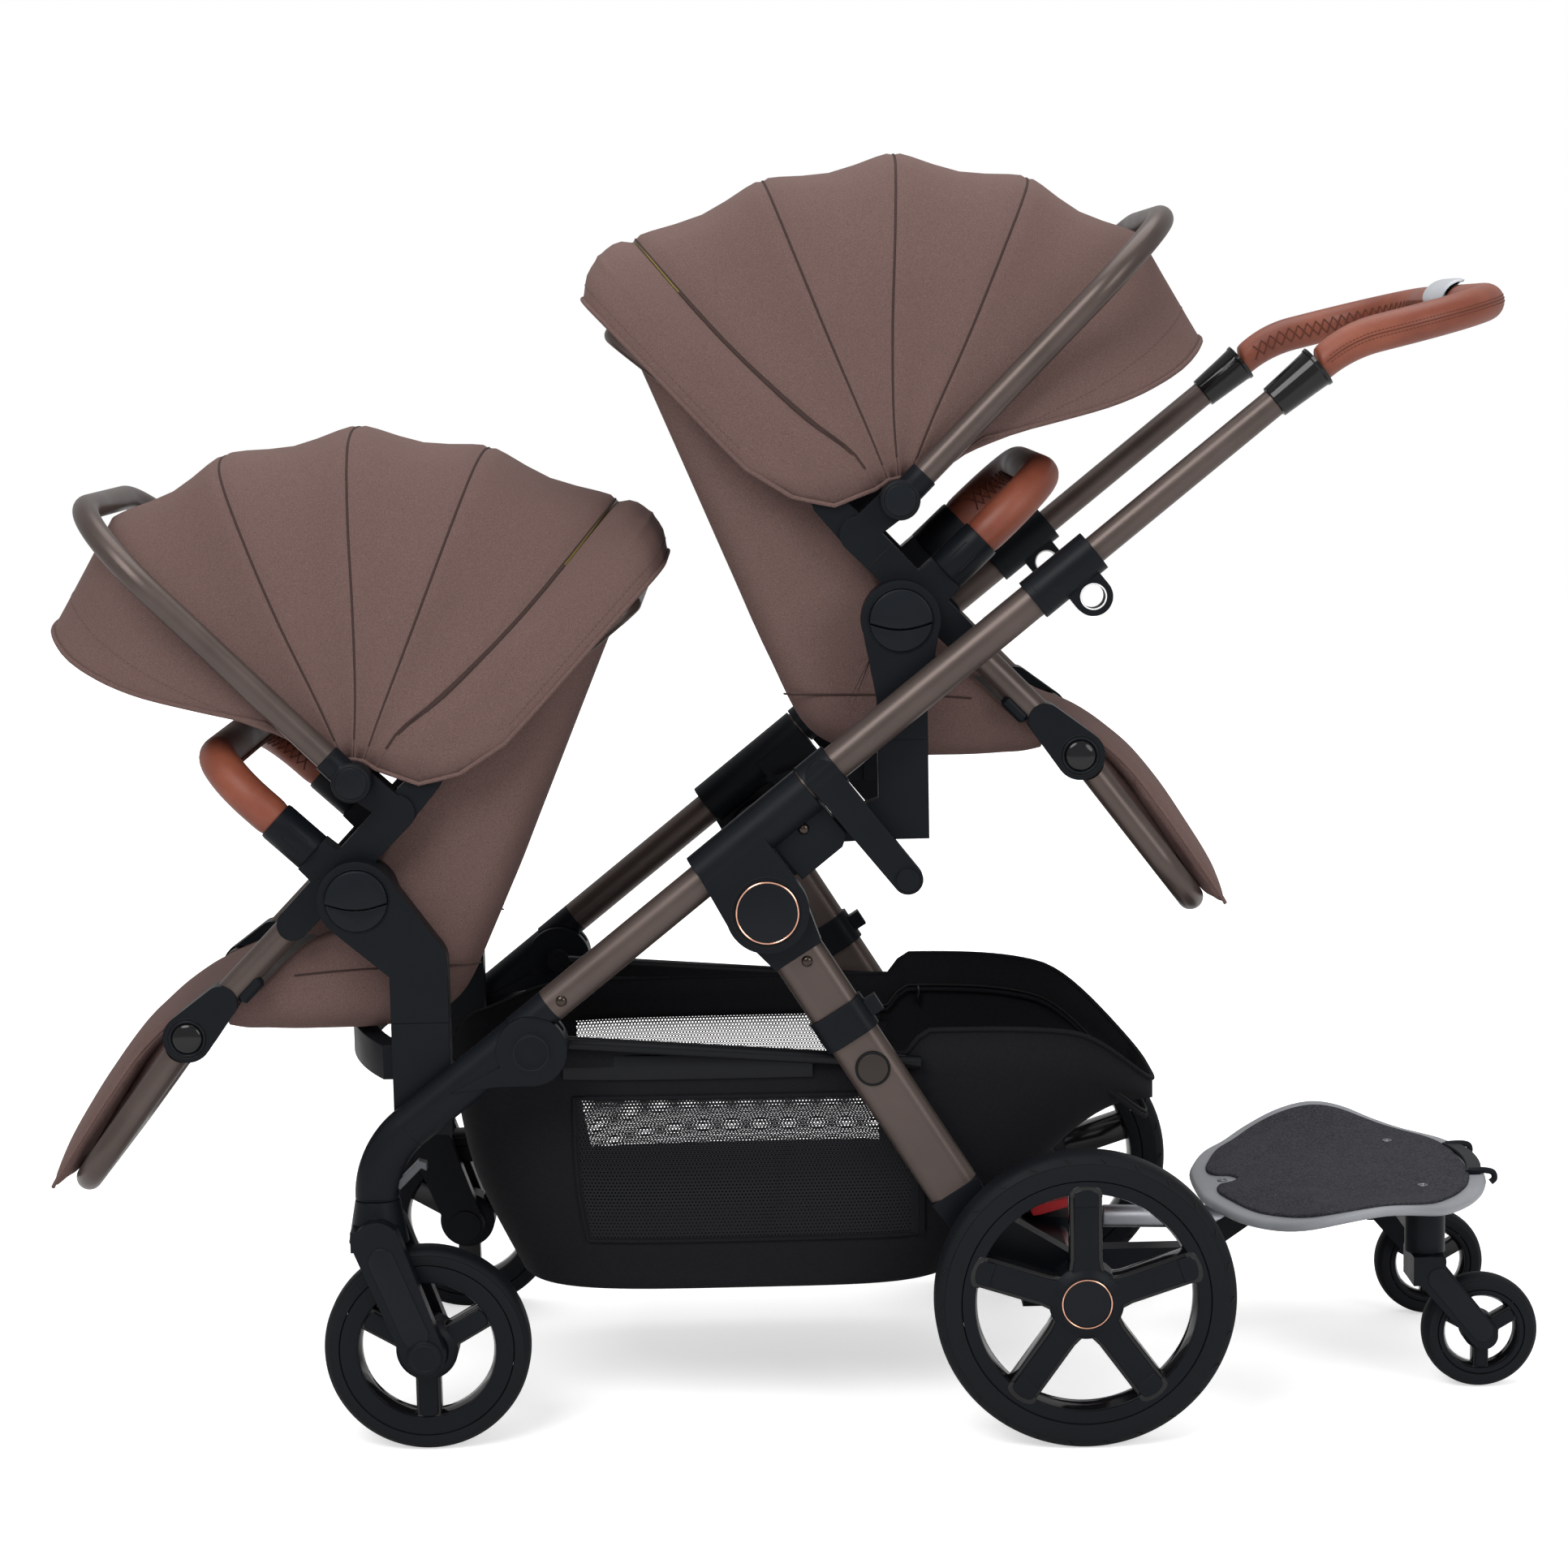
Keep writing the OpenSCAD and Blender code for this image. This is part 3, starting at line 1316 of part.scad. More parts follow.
module board_tow_arm() {
    under = deck_t + soft_gap;
    ramp = [deck_x0 + deck_len * 0.25, deck_top(deck_x0 + deck_len * 0.25, 0) - under - tow_tube_r];
    end = [caster_x, deck_top(caster_x, 0) - under - tow_tube_r];
    color(soft_black) difference() {
        union() {
            translate([tow_pin_x, 0, tow_z - tow_boss_h / 2]) cylinder(h = tow_boss_h, r = tow_boss_r);
            translate([tow_pin_x, 0, tow_z]) cylinder(h = pod_z0 + tow_pin_in - tow_z, r = tow_pin_r);
            slab(-tow_half, tow_half) limb([[tow_pin_x, tow_z], [deck_x0 - tow_half, tow_z], ramp, end],
                [tow_tube_r, tow_tube_r, tow_tube_r, tow_tube_r]);
            translate([caster_x - caster_head_r, -board_track / 2, end[1] - tow_tube_r])
                cube([2 * caster_head_r, board_track, 2 * tow_tube_r]);
            both() translate([caster_x, board_track / 2, caster_head_z])
                cylinder(h = end[1] + tow_tube_r - caster_head_z, r = caster_head_r);
            both() translate([caster_x, board_track / 2, caster_head_z - caster_pin_len])
                cylinder(h = caster_head_r + overrun + caster_pin_len, r = caster_pin_r);
        }
        translate(at3([deck_x1, deck_z - under], 0)) rotate([0, -deck_tilt, 0])
            translate([-2 * deck_len, -deck_w, 0]) cube([3 * deck_len, 2 * deck_w, deck_len]);
    }
}

module board_fork() {
    y = board_track / 2;
    half = board_wheel_w / 2 + board_fork_gap;
    top = [caster_x, caster_head_z - board_fork_r];
    crown_w = 2 * caster_head_r - 2 * button_t;
    color(black) difference() {
        union() {
            for (at = [y - half - board_fork_t, y + half]) slab(at, at + board_fork_t)
                bar(top, caster_axle, board_fork_r, board_fork_end_r);
            translate([caster_x - crown_w / 2, y - half - board_fork_t, caster_head_z - board_crown_h])
                cube([crown_w, 2 * (half + board_fork_t), board_crown_h - seat_gap]);
            cross_pin(caster_axle, y - half - overrun, y + half + overrun, board_axle_r);
        }
        translate([caster_x, y, caster_head_z - caster_pin_len - 2 * overrun])
            cylinder(h = 2 * caster_pin_len, r = caster_pin_r + run_gap);
    }
}

module board_wheel() {
    hub_half = board_wheel_w / 2 + board_hub_out;
    color(soft_black) wheel_at(caster_axle, board_track / 2)
        rim(board_wheel_d, board_wheel_w, board_open_share, board_seat_share, caster_head_r, hub_half, hub_half,
            front_spokes, board_spoke_w, 30, board_axle_r + run_gap, board_wheel_w);
}

module board_fork_near() {
    near() board_fork();
}

module board_fork_far() {
    board_fork();
}

module board_wheel_near() {
    near() board_wheel();
}

module board_wheel_far() {
    board_wheel();
}

main_tubes();
knuckles();
tube_end_fittings();
handle_tubes();
handle_grip();
handle_button();
fold_lever_near();
fold_lever_far();
rear_legs();
rear_leg_castings();
rear_axle();
brake_pedal();
rear_rim_near();
rear_tyre_near();
rear_rim_far();
rear_tyre_far();
front_arms();
swivel_lock_near();
swivel_lock_far();
front_fork_near();
front_fork_far();
front_rim_near();
front_tyre_near();
front_rim_far();
front_tyre_far();
basket_rails();
basket();
upper_adapters();
lower_adapters();
upper_seat_tubes();
upper_seat_brackets();
upper_seat_shell();
upper_canopy_cover();
upper_canopy_bow();
upper_leg_rest_tube();
upper_leg_rest_pad();
upper_bumper_bar();
upper_hub_button_near();
upper_hub_button_far();
upper_leg_button_near();
upper_leg_button_far();
lower_seat_tubes();
lower_seat_brackets();
lower_seat_shell();
lower_canopy_cover();
lower_canopy_bow();
lower_leg_rest_tube();
lower_leg_rest_pad();
lower_bumper_bar();
lower_hub_button_near();
lower_hub_button_far();
lower_leg_button_near();
lower_leg_button_far();
board_deck();
board_grip_pad();
board_tow_arm();
board_fork_near();
board_fork_far();
board_wheel_near();
board_wheel_far();
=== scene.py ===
"""Looks of the tandem stroller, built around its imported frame."""
import math

import bmesh
import bpy
from mathutils import Matrix, Vector


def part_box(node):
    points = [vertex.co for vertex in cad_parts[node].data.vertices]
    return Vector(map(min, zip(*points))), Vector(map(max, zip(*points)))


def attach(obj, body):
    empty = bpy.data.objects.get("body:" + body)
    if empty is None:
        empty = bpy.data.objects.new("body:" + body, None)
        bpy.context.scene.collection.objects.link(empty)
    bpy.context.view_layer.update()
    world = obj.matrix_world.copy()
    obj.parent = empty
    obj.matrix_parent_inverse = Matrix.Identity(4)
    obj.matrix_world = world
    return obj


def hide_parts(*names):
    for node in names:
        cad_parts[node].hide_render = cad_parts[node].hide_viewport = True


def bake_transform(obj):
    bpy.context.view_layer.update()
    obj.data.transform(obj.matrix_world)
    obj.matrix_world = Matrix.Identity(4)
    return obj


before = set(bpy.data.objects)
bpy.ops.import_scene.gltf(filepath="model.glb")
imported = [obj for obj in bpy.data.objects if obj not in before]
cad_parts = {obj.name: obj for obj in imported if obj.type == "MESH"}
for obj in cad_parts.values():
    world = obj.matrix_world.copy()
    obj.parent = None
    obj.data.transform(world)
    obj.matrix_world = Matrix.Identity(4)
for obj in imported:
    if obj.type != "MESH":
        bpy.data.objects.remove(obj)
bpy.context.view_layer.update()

# ---------------------------------------------------------------- measures, in millimetres
MM = 0.001
SIDES = ((-1, "near"), (1, "far"))
UPPER_HUB = (95, 795)
LOWER_HUB = (-432, 536)
KNUCKLE = (-38, 524)
TUBE_LEAN = 38.5
TUBE_FOOT = (-79.52, 576.2)
HANDLE_Y = 243
HANDLE_KNEE = (543.4, 1056.76)
HANDLE_LEAN = 13
HANDLE_REACH = 125
EYELET = (274.88, 816.58)
REAR_AXLE = (259, 145)
REAR_WHEEL_Y = 279
LEG_DISC = (60, 367.1)
FRONT_AXLE = (-376, 100)
FRONT_WHEEL_Y = 238
FRONT_PIVOT = (-266, 393)
BOARD_AXLE = (672, 58)
BOARD_WHEEL_Y = 125
HOOD_PIVOT = (1, 114)
HOOD_HALF = 195.2
SEAT_AXIS = -45.8
SEAT_TUBE_TOP = (-39, 81)
SEAT_JOINT = (172.24, -136.22)
LEG_LEAN = -53
BUMPER_LEAN = 43
BUMPER_Y = 180


def direction(degrees):
    a = math.radians(degrees)
    return (math.cos(a), math.sin(a))


def circle(sides):
    """Directions of even steps around a circle."""
    return [direction(360 * k / sides) for k in range(sides)]


def mix(a, b, t):
    return a + (b - a) * t


def ease(share):
    """A share kept between 0 and 1, with soft ends."""
    share = min(1, max(0, share))
    return share ** 2 * (3 - 2 * share)


def mix_points(a, b, t):
    return tuple(mix(u, v, t) for u, v in zip(a, b))


def metres(point):
    return tuple(c * MM for c in point)


def squared(value, power):
    """A cosine or sine raised to a power with its sign kept, which squares a round."""
    return math.copysign(abs(value) ** power, value)


def along(start, lean, s, n=0.0, y=0.0):
    """A point s along a lean of the side view and n to the left of it."""
    c, d = direction(lean)
    return (start[0] + s * c - n * d, y, start[1] + s * d + n * c)


def spline(points, i, t):
    """A point of the smooth line through the given points, a share t after point i."""
    four = (points[min(max(k, 0), len(points) - 1)] for k in (i - 1, i, i + 1, i + 2))
    return tuple(
        0.5 * (2 * b + (c - a) * t + (2 * a - 5 * b + 4 * c - d) * t * t + (3 * b - a - 3 * c + d) * t ** 3)
        for a, b, c, d in zip(*four))


def smooth_path(points, steps):
    """Points on a smooth line through the given points."""
    last = len(points) - 1
    return [spline(points, i, s / steps) for i in range(last) for s in range(steps)] + [tuple(points[last])]


def upper(p):
    return (UPPER_HUB[0] + p[0], p[1], UPPER_HUB[1] + p[2])


def lower(p):
    return (LOWER_HUB[0] - p[0], -p[1], LOWER_HUB[1] + p[2])


def unmoved(p):
    return p


def to_side(points, side):
    """Points of the far side, or their mirror images on the near side."""
    return [(x, side * y, z) for x, y, z in points]


# ---------------------------------------------------------------- surfaces: each gives points and faces
def rows_surface(rows, closed=False):
    width = len(rows[0])
    points = [p for row in rows for p in row]
    faces = []
    for i in range(len(rows) - 1):
        for k in range(width if closed else width - 1):
            m = (k + 1) % width
            faces.append((i * width + k, i * width + m, (i + 1) * width + m, (i + 1) * width + k))
    return points, faces


def stack_surface(rings):
    """Rings joined one to the next, with the last one closed."""
    points, faces = rows_surface(rings, closed=True)
    return points, faces + [tuple(range(len(points) - len(rings[0]), len(points)))]


def tube_surface(rings):
    """Rings joined one to the next, with both ends closed."""
    points, faces = stack_surface(rings)
    first = tuple(reversed(range(len(rings[0]))))
    return points, faces[:-1] + [first, faces[-1]]


def path_frames(path):
    """Tangent and two cross directions along a path, without twist."""
    pts = [Vector(p) for p in path]
    frames = []
    last = len(pts) - 1
    side = None
    for i, p in enumerate(pts):
        tangent = (pts[min(i + 1, last)] - pts[max(i - 1, 0)]).normalized()
        if side is None:
            side = Vector((0, 1, 0)) if abs(tangent.y) < 0.9 else Vector((0, 0, 1))
        side = (side - tangent * side.dot(tangent)).normalized()
        frames.append((p, tangent, side, tangent.cross(side)))
    return frames


def bar_surface(path, radius, sides):
    """A round bar along a path, with one radius or one for each point."""
    radii = radius if hasattr(radius, "__len__") else [radius] * len(path)
    rows = [[tuple(p + (u * c + v * s) * r) for c, s in circle(sides)]
            for (p, _, u, v), r in zip(path_frames(path), radii)]
    return tube_surface(rows)


def ring_surface(centre, r, y, thick, sides=6):
    """A thin round ring about a line across the stroller."""
    path = [(centre[0] + r * c, y, centre[1] + r * s) for c, s in circle(72) + circle(1)]
    return bar_surface(path, thick, sides)


def ribbon_surface(path, half, thick, toward):
    """A flat strap along a path that faces a given way."""
    face = Vector(toward).normalized()
    outline = ((-1, -0.6), (-0.92, -1), (0.92, -1), (1, -0.6), (1, 0.6), (0.92, 1), (-0.92, 1), (-1, 0.6))
    rows = []
    for p, tangent, _, _ in path_frames(path):
        side = tangent.cross(face).normalized()
        up = side.cross(tangent).normalized()
        rows.append([tuple(p + side * u * half + up * v * thick) for u, v in outline])
    return tube_surface(rows)


def turned_surface(profile, centre, sides):
    """A closed profile of (radius, y) turned about a line across the stroller."""
    x, z = centre
    rows = [[(x + r * c, y, z + r * s) for r, y in profile] for c, s in circle(sides)]
    return rows_surface(rows + rows[:1], closed=True)


def cap_surface(centre, profile, sides):
    """Rings of (radius, y) about a line across the stroller, closed at the last one."""
    x, z = centre
    return stack_surface([[(x + r * c, y, z + r * s) for c, s in circle(sides)] for r, y in profile])


def disc_surface(centre, r, y0, y1, edge, sides=64):
    """A round cap that stands towards y1, with its edge rounded over."""
    lip = math.copysign(edge, y1 - y0)
    arc = circle(16)[:5]
    return cap_surface(centre, [(r, y0)] + [(r - edge + edge * c, y1 - lip * (1 - s)) for c, s in arc], sides)


def dome_surface(centre, r, y0, y1, rise, sides=56):
    """A round button that stands to y1 and is domed a little further."""
    lift = math.copysign(rise, y1 - y0)
    arc = [direction(a) for a in range(8, 89, 8)]
    return cap_surface(centre, [(r, y0), (r, y1)] + [(r * c, y1 + lift * s) for c, s in arc], sides)


def outline_inset(outline, inset):
    """A closed outline moved inwards; it runs anticlockwise."""
    out = []
    n = len(outline)
    for i in range(n):
        a, b, c = Vector(outline[i - 1]), Vector(outline[i]), Vector(outline[(i + 1) % n])
        u, v = (b - a).normalized(), (c - b).normalized()
        normal = Vector((-(u.y + v.y), u.x + v.x))
        if normal.length < 1e-6:
            normal = Vector((-u.y, u.x))
        normal.normalize()
        reach = inset / max(0.35, normal.dot(Vector((-u.y, u.x))))
        out.append(tuple(b + normal * reach))
    return out


def slab_surface(outline, y0, y1, edge):
    """An outline of the side view given a thickness across the stroller, with its edges rounded over."""
    y0, y1 = sorted((y0, y1))
    rings = [(edge * (1 - s), y0 + edge * (1 - c)) for c, s in circle(12)[:4]]
    rings += [(inset, y0 + y1 - y) for inset, y in reversed(rings)]
    rows = [[(x, y, z) for x, z in outline_inset(outline, inset)] for inset, y in rings]
    return tube_surface(rows)


def arc_points(x, y, r, first, last, steps=6):
    """Points on an arc; its angles are in degrees."""
    arc = [direction(mix(first, last, k / steps)) for k in range(steps + 1)]
    return [(x + r * c, y + r * s) for c, s in arc]


def rounded_bar_outline(p, q, r):
    """Anticlockwise outline of a straight bar of the side view with round ends."""
    a = math.degrees(math.atan2(q[1] - p[1], q[0] - p[0]))
    return arc_points(*q, r, a - 90, a + 90, 12) + arc_points(*p, r, a + 90, a + 270, 12)


class Piece:
    """Collects the surfaces of one piece, each point moved by place, and makes one object of them."""

    def __init__(self, name, place=unmoved):
        self.name, self.place = name, place
        self.points, self.faces, self.finish_of, self.finishes = [], [], [], []

    def add(self, surface, finish):
        points, faces = surface
        base = len(self.points)
        self.points += [metres(self.place(p)) for p in points]
        if finish not in self.finishes:
            self.finishes.append(finish)
        self.faces += [tuple(i + base for i in f) for f in faces]
        self.finish_of += [self.finishes.index(finish)] * len(faces)
        return self

    def make(self, body=None, slot=None, replaces=(), crease=45):
        mesh = bpy.data.meshes.new(self.name)
        mesh.from_pydata(self.points, [], self.faces)
        for finish in self.finishes:
            mesh.materials.append(finish)
        mesh.polygons.foreach_set("material_index", self.finish_of)
        mesh.polygons.foreach_set("use_smooth", [True] * len(mesh.polygons))
        turn_outward(mesh)
        mesh.set_sharp_from_angle(angle=math.radians(crease))
        mesh.update()
        return settle(add_to_scene(self.name, mesh), body, replaces)


def add_to_scene(name, data):
    obj = bpy.data.objects.new(name, data)
    bpy.context.scene.collection.objects.link(obj)
    return obj


def turn_outward(mesh):
    work = bmesh.new()
    work.from_mesh(mesh)
    bmesh.ops.recalc_face_normals(work, faces=work.faces)
    work.to_mesh(mesh)
    work.free()


def settle(obj, body=None, replaces=()):
    if body:
        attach(obj, body)
    if replaces:
        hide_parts(*replaces)
    return obj


def apply_modifiers(obj):
    depsgraph = bpy.context.evaluated_depsgraph_get()
    mesh = bpy.data.meshes.new_from_object(obj.evaluated_get(depsgraph))
    obj.modifiers.clear()
    old = obj.data
    obj.data = mesh
    mesh.name = obj.name
    bpy.data.meshes.remove(old)


def thicken(obj, thickness):
    """Gives a single layer of cloth its thickness, inwards."""
    thick = obj.modifiers.new("thickness", "SOLIDIFY")
    thick.thickness = thickness * MM
    thick.offset = -1
    apply_modifiers(obj)


# ---------------------------------------------------------------- finishes
def set_inputs(tree, node, values):
    """Sets each input of a node to a value, or links it to a socket."""
    for label, value in values.items():
        if hasattr(value, "is_output"):
            tree.links.new(value, node.inputs[label])
        else:
            node.inputs[label].default_value = value
    return node


def new_node(tree, kind, values, **settings):
    node = tree.nodes.new(f"ShaderNode{kind}")
    for label, value in settings.items():
        setattr(node, label, value)
    return set_inputs(tree, node, values)


def noise(tree, at, scale, detail):
    values = {"Scale": scale, "Detail": detail, "Roughness": 0.55, "Vector": at}
    return new_node(tree, "TexNoise", values).outputs[0]


def object_coordinates(tree):
    return tree.nodes.new("ShaderNodeTexCoord").outputs["Object"]


def math_node(tree, operation, a, b):
    return new_node(tree, "Math", {0: a, 1: b}, operation=operation).outputs[0]


def colour_mix(tree, factor, first, second):
    first, second = (c if hasattr(c, "is_output") else (*c, 1) for c in (first, second))
    return new_node(tree, "Mix", {0: factor, 6: first, 7: second}, data_type="RGBA").outputs[2]


def shared_group(name, sockets):
    """A node group that several finishes use; sockets are made from its tree and the place on the piece."""
    tree = bpy.data.node_groups.new(name, "ShaderNodeTree")
    values = sockets(tree, object_coordinates(tree))
    for label in values:
        tree.interface.new_socket(label, in_out="OUTPUT", socket_type="NodeSocketFloat")
    set_inputs(tree, tree.nodes.new("NodeGroupOutput"), values)
    return tree


def cloth_weave(tree, at):
    """Flecks of two yarns and the height of a fine twill."""
    fleck = noise(tree, at, 1300, 2.0)
    twill = {"Scale": 420, "Distortion": 1.5, "Vector": at}
    wave = new_node(tree, "TexWave", twill, bands_direction="DIAGONAL").outputs["Fac"]
    height = math_node(tree, "ADD", math_node(tree, "MULTIPLY", wave, 0.6), fleck)
    return {"Fleck": fleck, "Patch": noise(tree, at, 9, 2.0), "Height": height}


def moulded_grain(tree, at):
    """Spark-eroded grain of moulded plastic and the broad patches where hands polish it."""
    return {"Grain": noise(tree, at, 1500, 2.0), "Patch": noise(tree, at, 14, 3.0)}


CLOTH_WEAVE = shared_group("ClothWeave", cloth_weave)
MOULDED_GRAIN = shared_group("MouldedGrain", moulded_grain)


def finish_tree(name):
    material = bpy.data.materials.new(name)
    material.use_nodes = True
    tree = material.node_tree
    shader = next(n for n in tree.nodes if n.type == "BSDF_PRINCIPLED")
    return material, tree, shader


def use_group(tree, group):
    return new_node(tree, "Group", {}, node_tree=group).outputs


def bump(tree, height, distance, strength, **normal):
    values = {"Strength": strength, "Distance": distance, "Height": height, **normal}
    return new_node(tree, "Bump", values).outputs[0]


def map_range(tree, value, start, end):
    """Maps a value from its range at the start to the one at the end."""
    values = {"From Min": start[0], "From Max": start[1], "To Min": end[0], "To Max": end[1], "Value": value}
    return new_node(tree, "MapRange", values).outputs[0]


def spread(tree, value, low, high):
    """Maps the middle half of a noise value to a range."""
    return map_range(tree, value, (0.3, 0.7), (low, high))


def cloth(name, dark, light, sheen, shine=0.25):
    material, tree, shader = finish_tree(name)
    weave = use_group(tree, CLOTH_WEAVE)
    flecks = colour_mix(tree, spread(tree, weave["Fleck"], 0, 1), dark, light)
    set_inputs(tree, shader, {
        "Base Color": colour_mix(tree, spread(tree, weave["Patch"], 0.0, 0.16), flecks, dark),
        "Roughness": 0.9,
        "Specular IOR Level": shine,
        "Sheen Weight": sheen,
        "Sheen Roughness": 0.5,
        "Sheen Tint": (*light, 1),
        "Normal": bump(tree, weave["Height"], 0.0004, 0.35),
    })
    return material


def moulded(name, colour, roughness, rounded=0.0015, grain=0.12, metallic=0.0, shine=0.3):
    """Moulded or painted surface: fine grain, polished patches and softened edges."""
    material, tree, shader = finish_tree(name)
    marks = use_group(tree, MOULDED_GRAIN)
    worn = tuple(c * 1.25 for c in colour)
    edge = {}
    if rounded:
        edge["Normal"] = new_node(tree, "Bevel", {"Radius": rounded}, samples=4).outputs[0]
    set_inputs(tree, shader, {
        "Base Color": colour_mix(tree, spread(tree, marks["Patch"], 0, 1), colour, worn),
        "Roughness": spread(tree, marks["Patch"], roughness * 0.9, roughness * 1.12),
        "Metallic": metallic,
        "Specular IOR Level": shine,
        "Normal": bump(tree, marks["Grain"], 0.0002, grain, **edge),
    })
    return material


def leather(name):
    material, tree, shader = finish_tree(name)
    at = object_coordinates(tree)
    cells = new_node(tree, "TexVoronoi", {"Scale": 520, "Vector": at}, feature="DISTANCE_TO_EDGE").outputs["Distance"]
    clouds, pores = noise(tree, at, 22, 4.0), noise(tree, at, 900, 2.0)
    tone = colour_mix(tree, spread(tree, clouds, 0, 1), (0.158, 0.041, 0.024), (0.235, 0.067, 0.037))
    height = math_node(tree, "ADD", math_node(tree, "MULTIPLY", cells, 1.5), pores)
    set_inputs(tree, shader, {
        "Base Color": colour_mix(tree, spread(tree, pores, 0, 0.25), tone, (0.100, 0.026, 0.016)),
        "Roughness": spread(tree, clouds, 0.36, 0.5),
        "Specular IOR Level": 0.28,
        "Normal": bump(tree, height, 0.0004, 0.18),
    })
    return material


def grit(name):
    material, tree, shader = finish_tree(name)
    at = object_coordinates(tree)
    grains = new_node(tree, "TexVoronoi", {"Scale": 700, "Vector": at}).outputs
    clouds = noise(tree, at, 30, 3.0)
    tone = colour_mix(tree, spread(tree, clouds, 0, 1), (0.016, 0.016, 0.021), (0.024, 0.024, 0.030))
    set_inputs(tree, shader, {
        "Base Color": colour_mix(tree, spread(tree, grains["Color"], 0, 0.3), tone, (0.10, 0.10, 0.11)),
        "Roughness": 0.8,
        "Specular IOR Level": 0.15,
        "Normal": bump(tree, grains["Distance"], 0.0008, 0.7),
    })
    return material


def plain_metal(name, colour, roughness):
    material, tree, shader = finish_tree(name)
    marks = use_group(tree, MOULDED_GRAIN)
    set_inputs(tree, shader, {
        "Base Color": (*colour, 1),
        "Metallic": 1,
        "Roughness": spread(tree, marks["Patch"], roughness * 0.8, roughness * 1.3),
        "Normal": bump(tree, marks["Grain"], 0.0001, 0.05),
    })
    return material


MOCHA = cloth("mocha_cloth", (0.077, 0.045, 0.040), (0.157, 0.097, 0.087), 0.3)
# Near-black cloth for the bars laid in the seam grooves: painted shade in the grooves.
SEAM_SHADE = cloth("mocha_seam", (0.030, 0.018, 0.016), (0.050, 0.030, 0.026), 0.1)
THREAD = cloth("mocha_thread", (0.080, 0.048, 0.040), (0.130, 0.082, 0.070), 0.2)
LINER = cloth("liner_cloth", (0.030, 0.026, 0.026), (0.060, 0.052, 0.050), 0.2)
BASKET_CLOTH = cloth("basket_cloth", (0.0035, 0.0038, 0.0048), (0.0090, 0.0094, 0.0114), 0.08, shine=0.15)
WEBBING = cloth("webbing", (0.010, 0.010, 0.011), (0.022, 0.022, 0.024), 0.1)
NET = moulded("basket_net", (0.0070, 0.0074, 0.0088), 0.6, rounded=0, shine=0.15)
LEATHER = leather("tan_leather")
LEATHER_THREAD = moulded("leather_thread", (0.085, 0.024, 0.014), 0.7, rounded=0)
BRONZE = moulded("bronze_tube", (0.074, 0.056, 0.050), 0.36, rounded=0, grain=0.06, metallic=0.55)
BLACK = moulded("black_plastic", (0.0046, 0.0058, 0.0078), 0.40, shine=0.10)
BLACK_PANEL = moulded("black_panel", (0.0054, 0.0068, 0.0090), 0.36, shine=0.12)
DARK_BRONZE = moulded("dark_bronze", (0.026, 0.020, 0.017), 0.4, rounded=0.0008, grain=0.05, metallic=0.3)
BLACK_PAINT = moulded("black_paint", (0.0040, 0.0046, 0.0058), 0.33, rounded=0.0008, grain=0.04, shine=0.15)
GLOSS = moulded("gloss_black", (0.0050, 0.0052, 0.0058), 0.09, rounded=0.0008, grain=0.0)
# Near-black lines and rings for panel gaps, grooves, the pocket opening and tread notches: painted shade in these
# recesses.
GAP_SHADE = moulded("panel_gap", (0.0015, 0.0015, 0.0017), 0.7, rounded=0)
RUBBER = moulded("tyre_rubber", (0.0050, 0.0060, 0.0076), 0.60, rounded=0, grain=0.3, shine=0.12)
STEEL = plain_metal("steel", (0.62, 0.62, 0.64), 0.3)
SCREW = plain_metal("screw_metal", (0.20, 0.20, 0.215), 0.35)
SILVER = plain_metal("satin_silver", (0.50, 0.51, 0.55), 0.4)
ROSE = plain_metal("rose_metal", (0.78, 0.42, 0.30), 0.18)
RIVET = plain_metal("rivet_metal", (0.055, 0.043, 0.036), 0.16)
ZIP = plain_metal("zip_metal", (0.115, 0.090, 0.030), 0.42)
RED = moulded("red_plastic", (0.35, 0.018, 0.022), 0.35)
LOCK_GREY = moulded("lock_grey", (0.060, 0.062, 0.068), 0.4, shine=0.2)
GREY = moulded("grey_plastic", (0.36, 0.375, 0.40), 0.28)
DECK = moulded("deck_grey", (0.205, 0.212, 0.228), 0.4, grain=0.25)
GRIT = grit("grit_pad")
WHITE = moulded("white_bush", (0.72, 0.72, 0.72), 0.4, rounded=0.0005)

CAD_FINISHES = [
    (BRONZE, ("main_tubes", "handle_tubes", "rear_legs", "seat_tubes", "canopy_bow", "leg_rest_tube")),
    (BLACK_PAINT, ("basket_rails",)),
    (LEATHER, ("handle_grip", "bumper_bar")),
    (GREY, ("handle_button",)),
    (LOCK_GREY, ("swivel_lock",)),
    (STEEL, ("rear_axle",)),
    (RED, ("brake_pedal",)),
    (RUBBER, ("tyre",)),
    (BASKET_CLOTH, ("basket",)),
    (MOCHA, ("seat_shell", "canopy_cover", "leg_rest_pad")),
    (DECK, ("board_deck",)),
    (GRIT, ("board_grip_pad",)),
    (GLOSS, ("leg_button",)),
    (BLACK_PANEL, ("hub_button",)),
]


def finish_cad_nodes():
    for name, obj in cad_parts.items():
        chosen = next((m for m, words in CAD_FINISHES if any(w in name for w in words)), BLACK)
        obj.data.materials.clear()
        obj.data.materials.append(chosen)
        for polygon in obj.data.polygons:
            polygon.material_index = 0


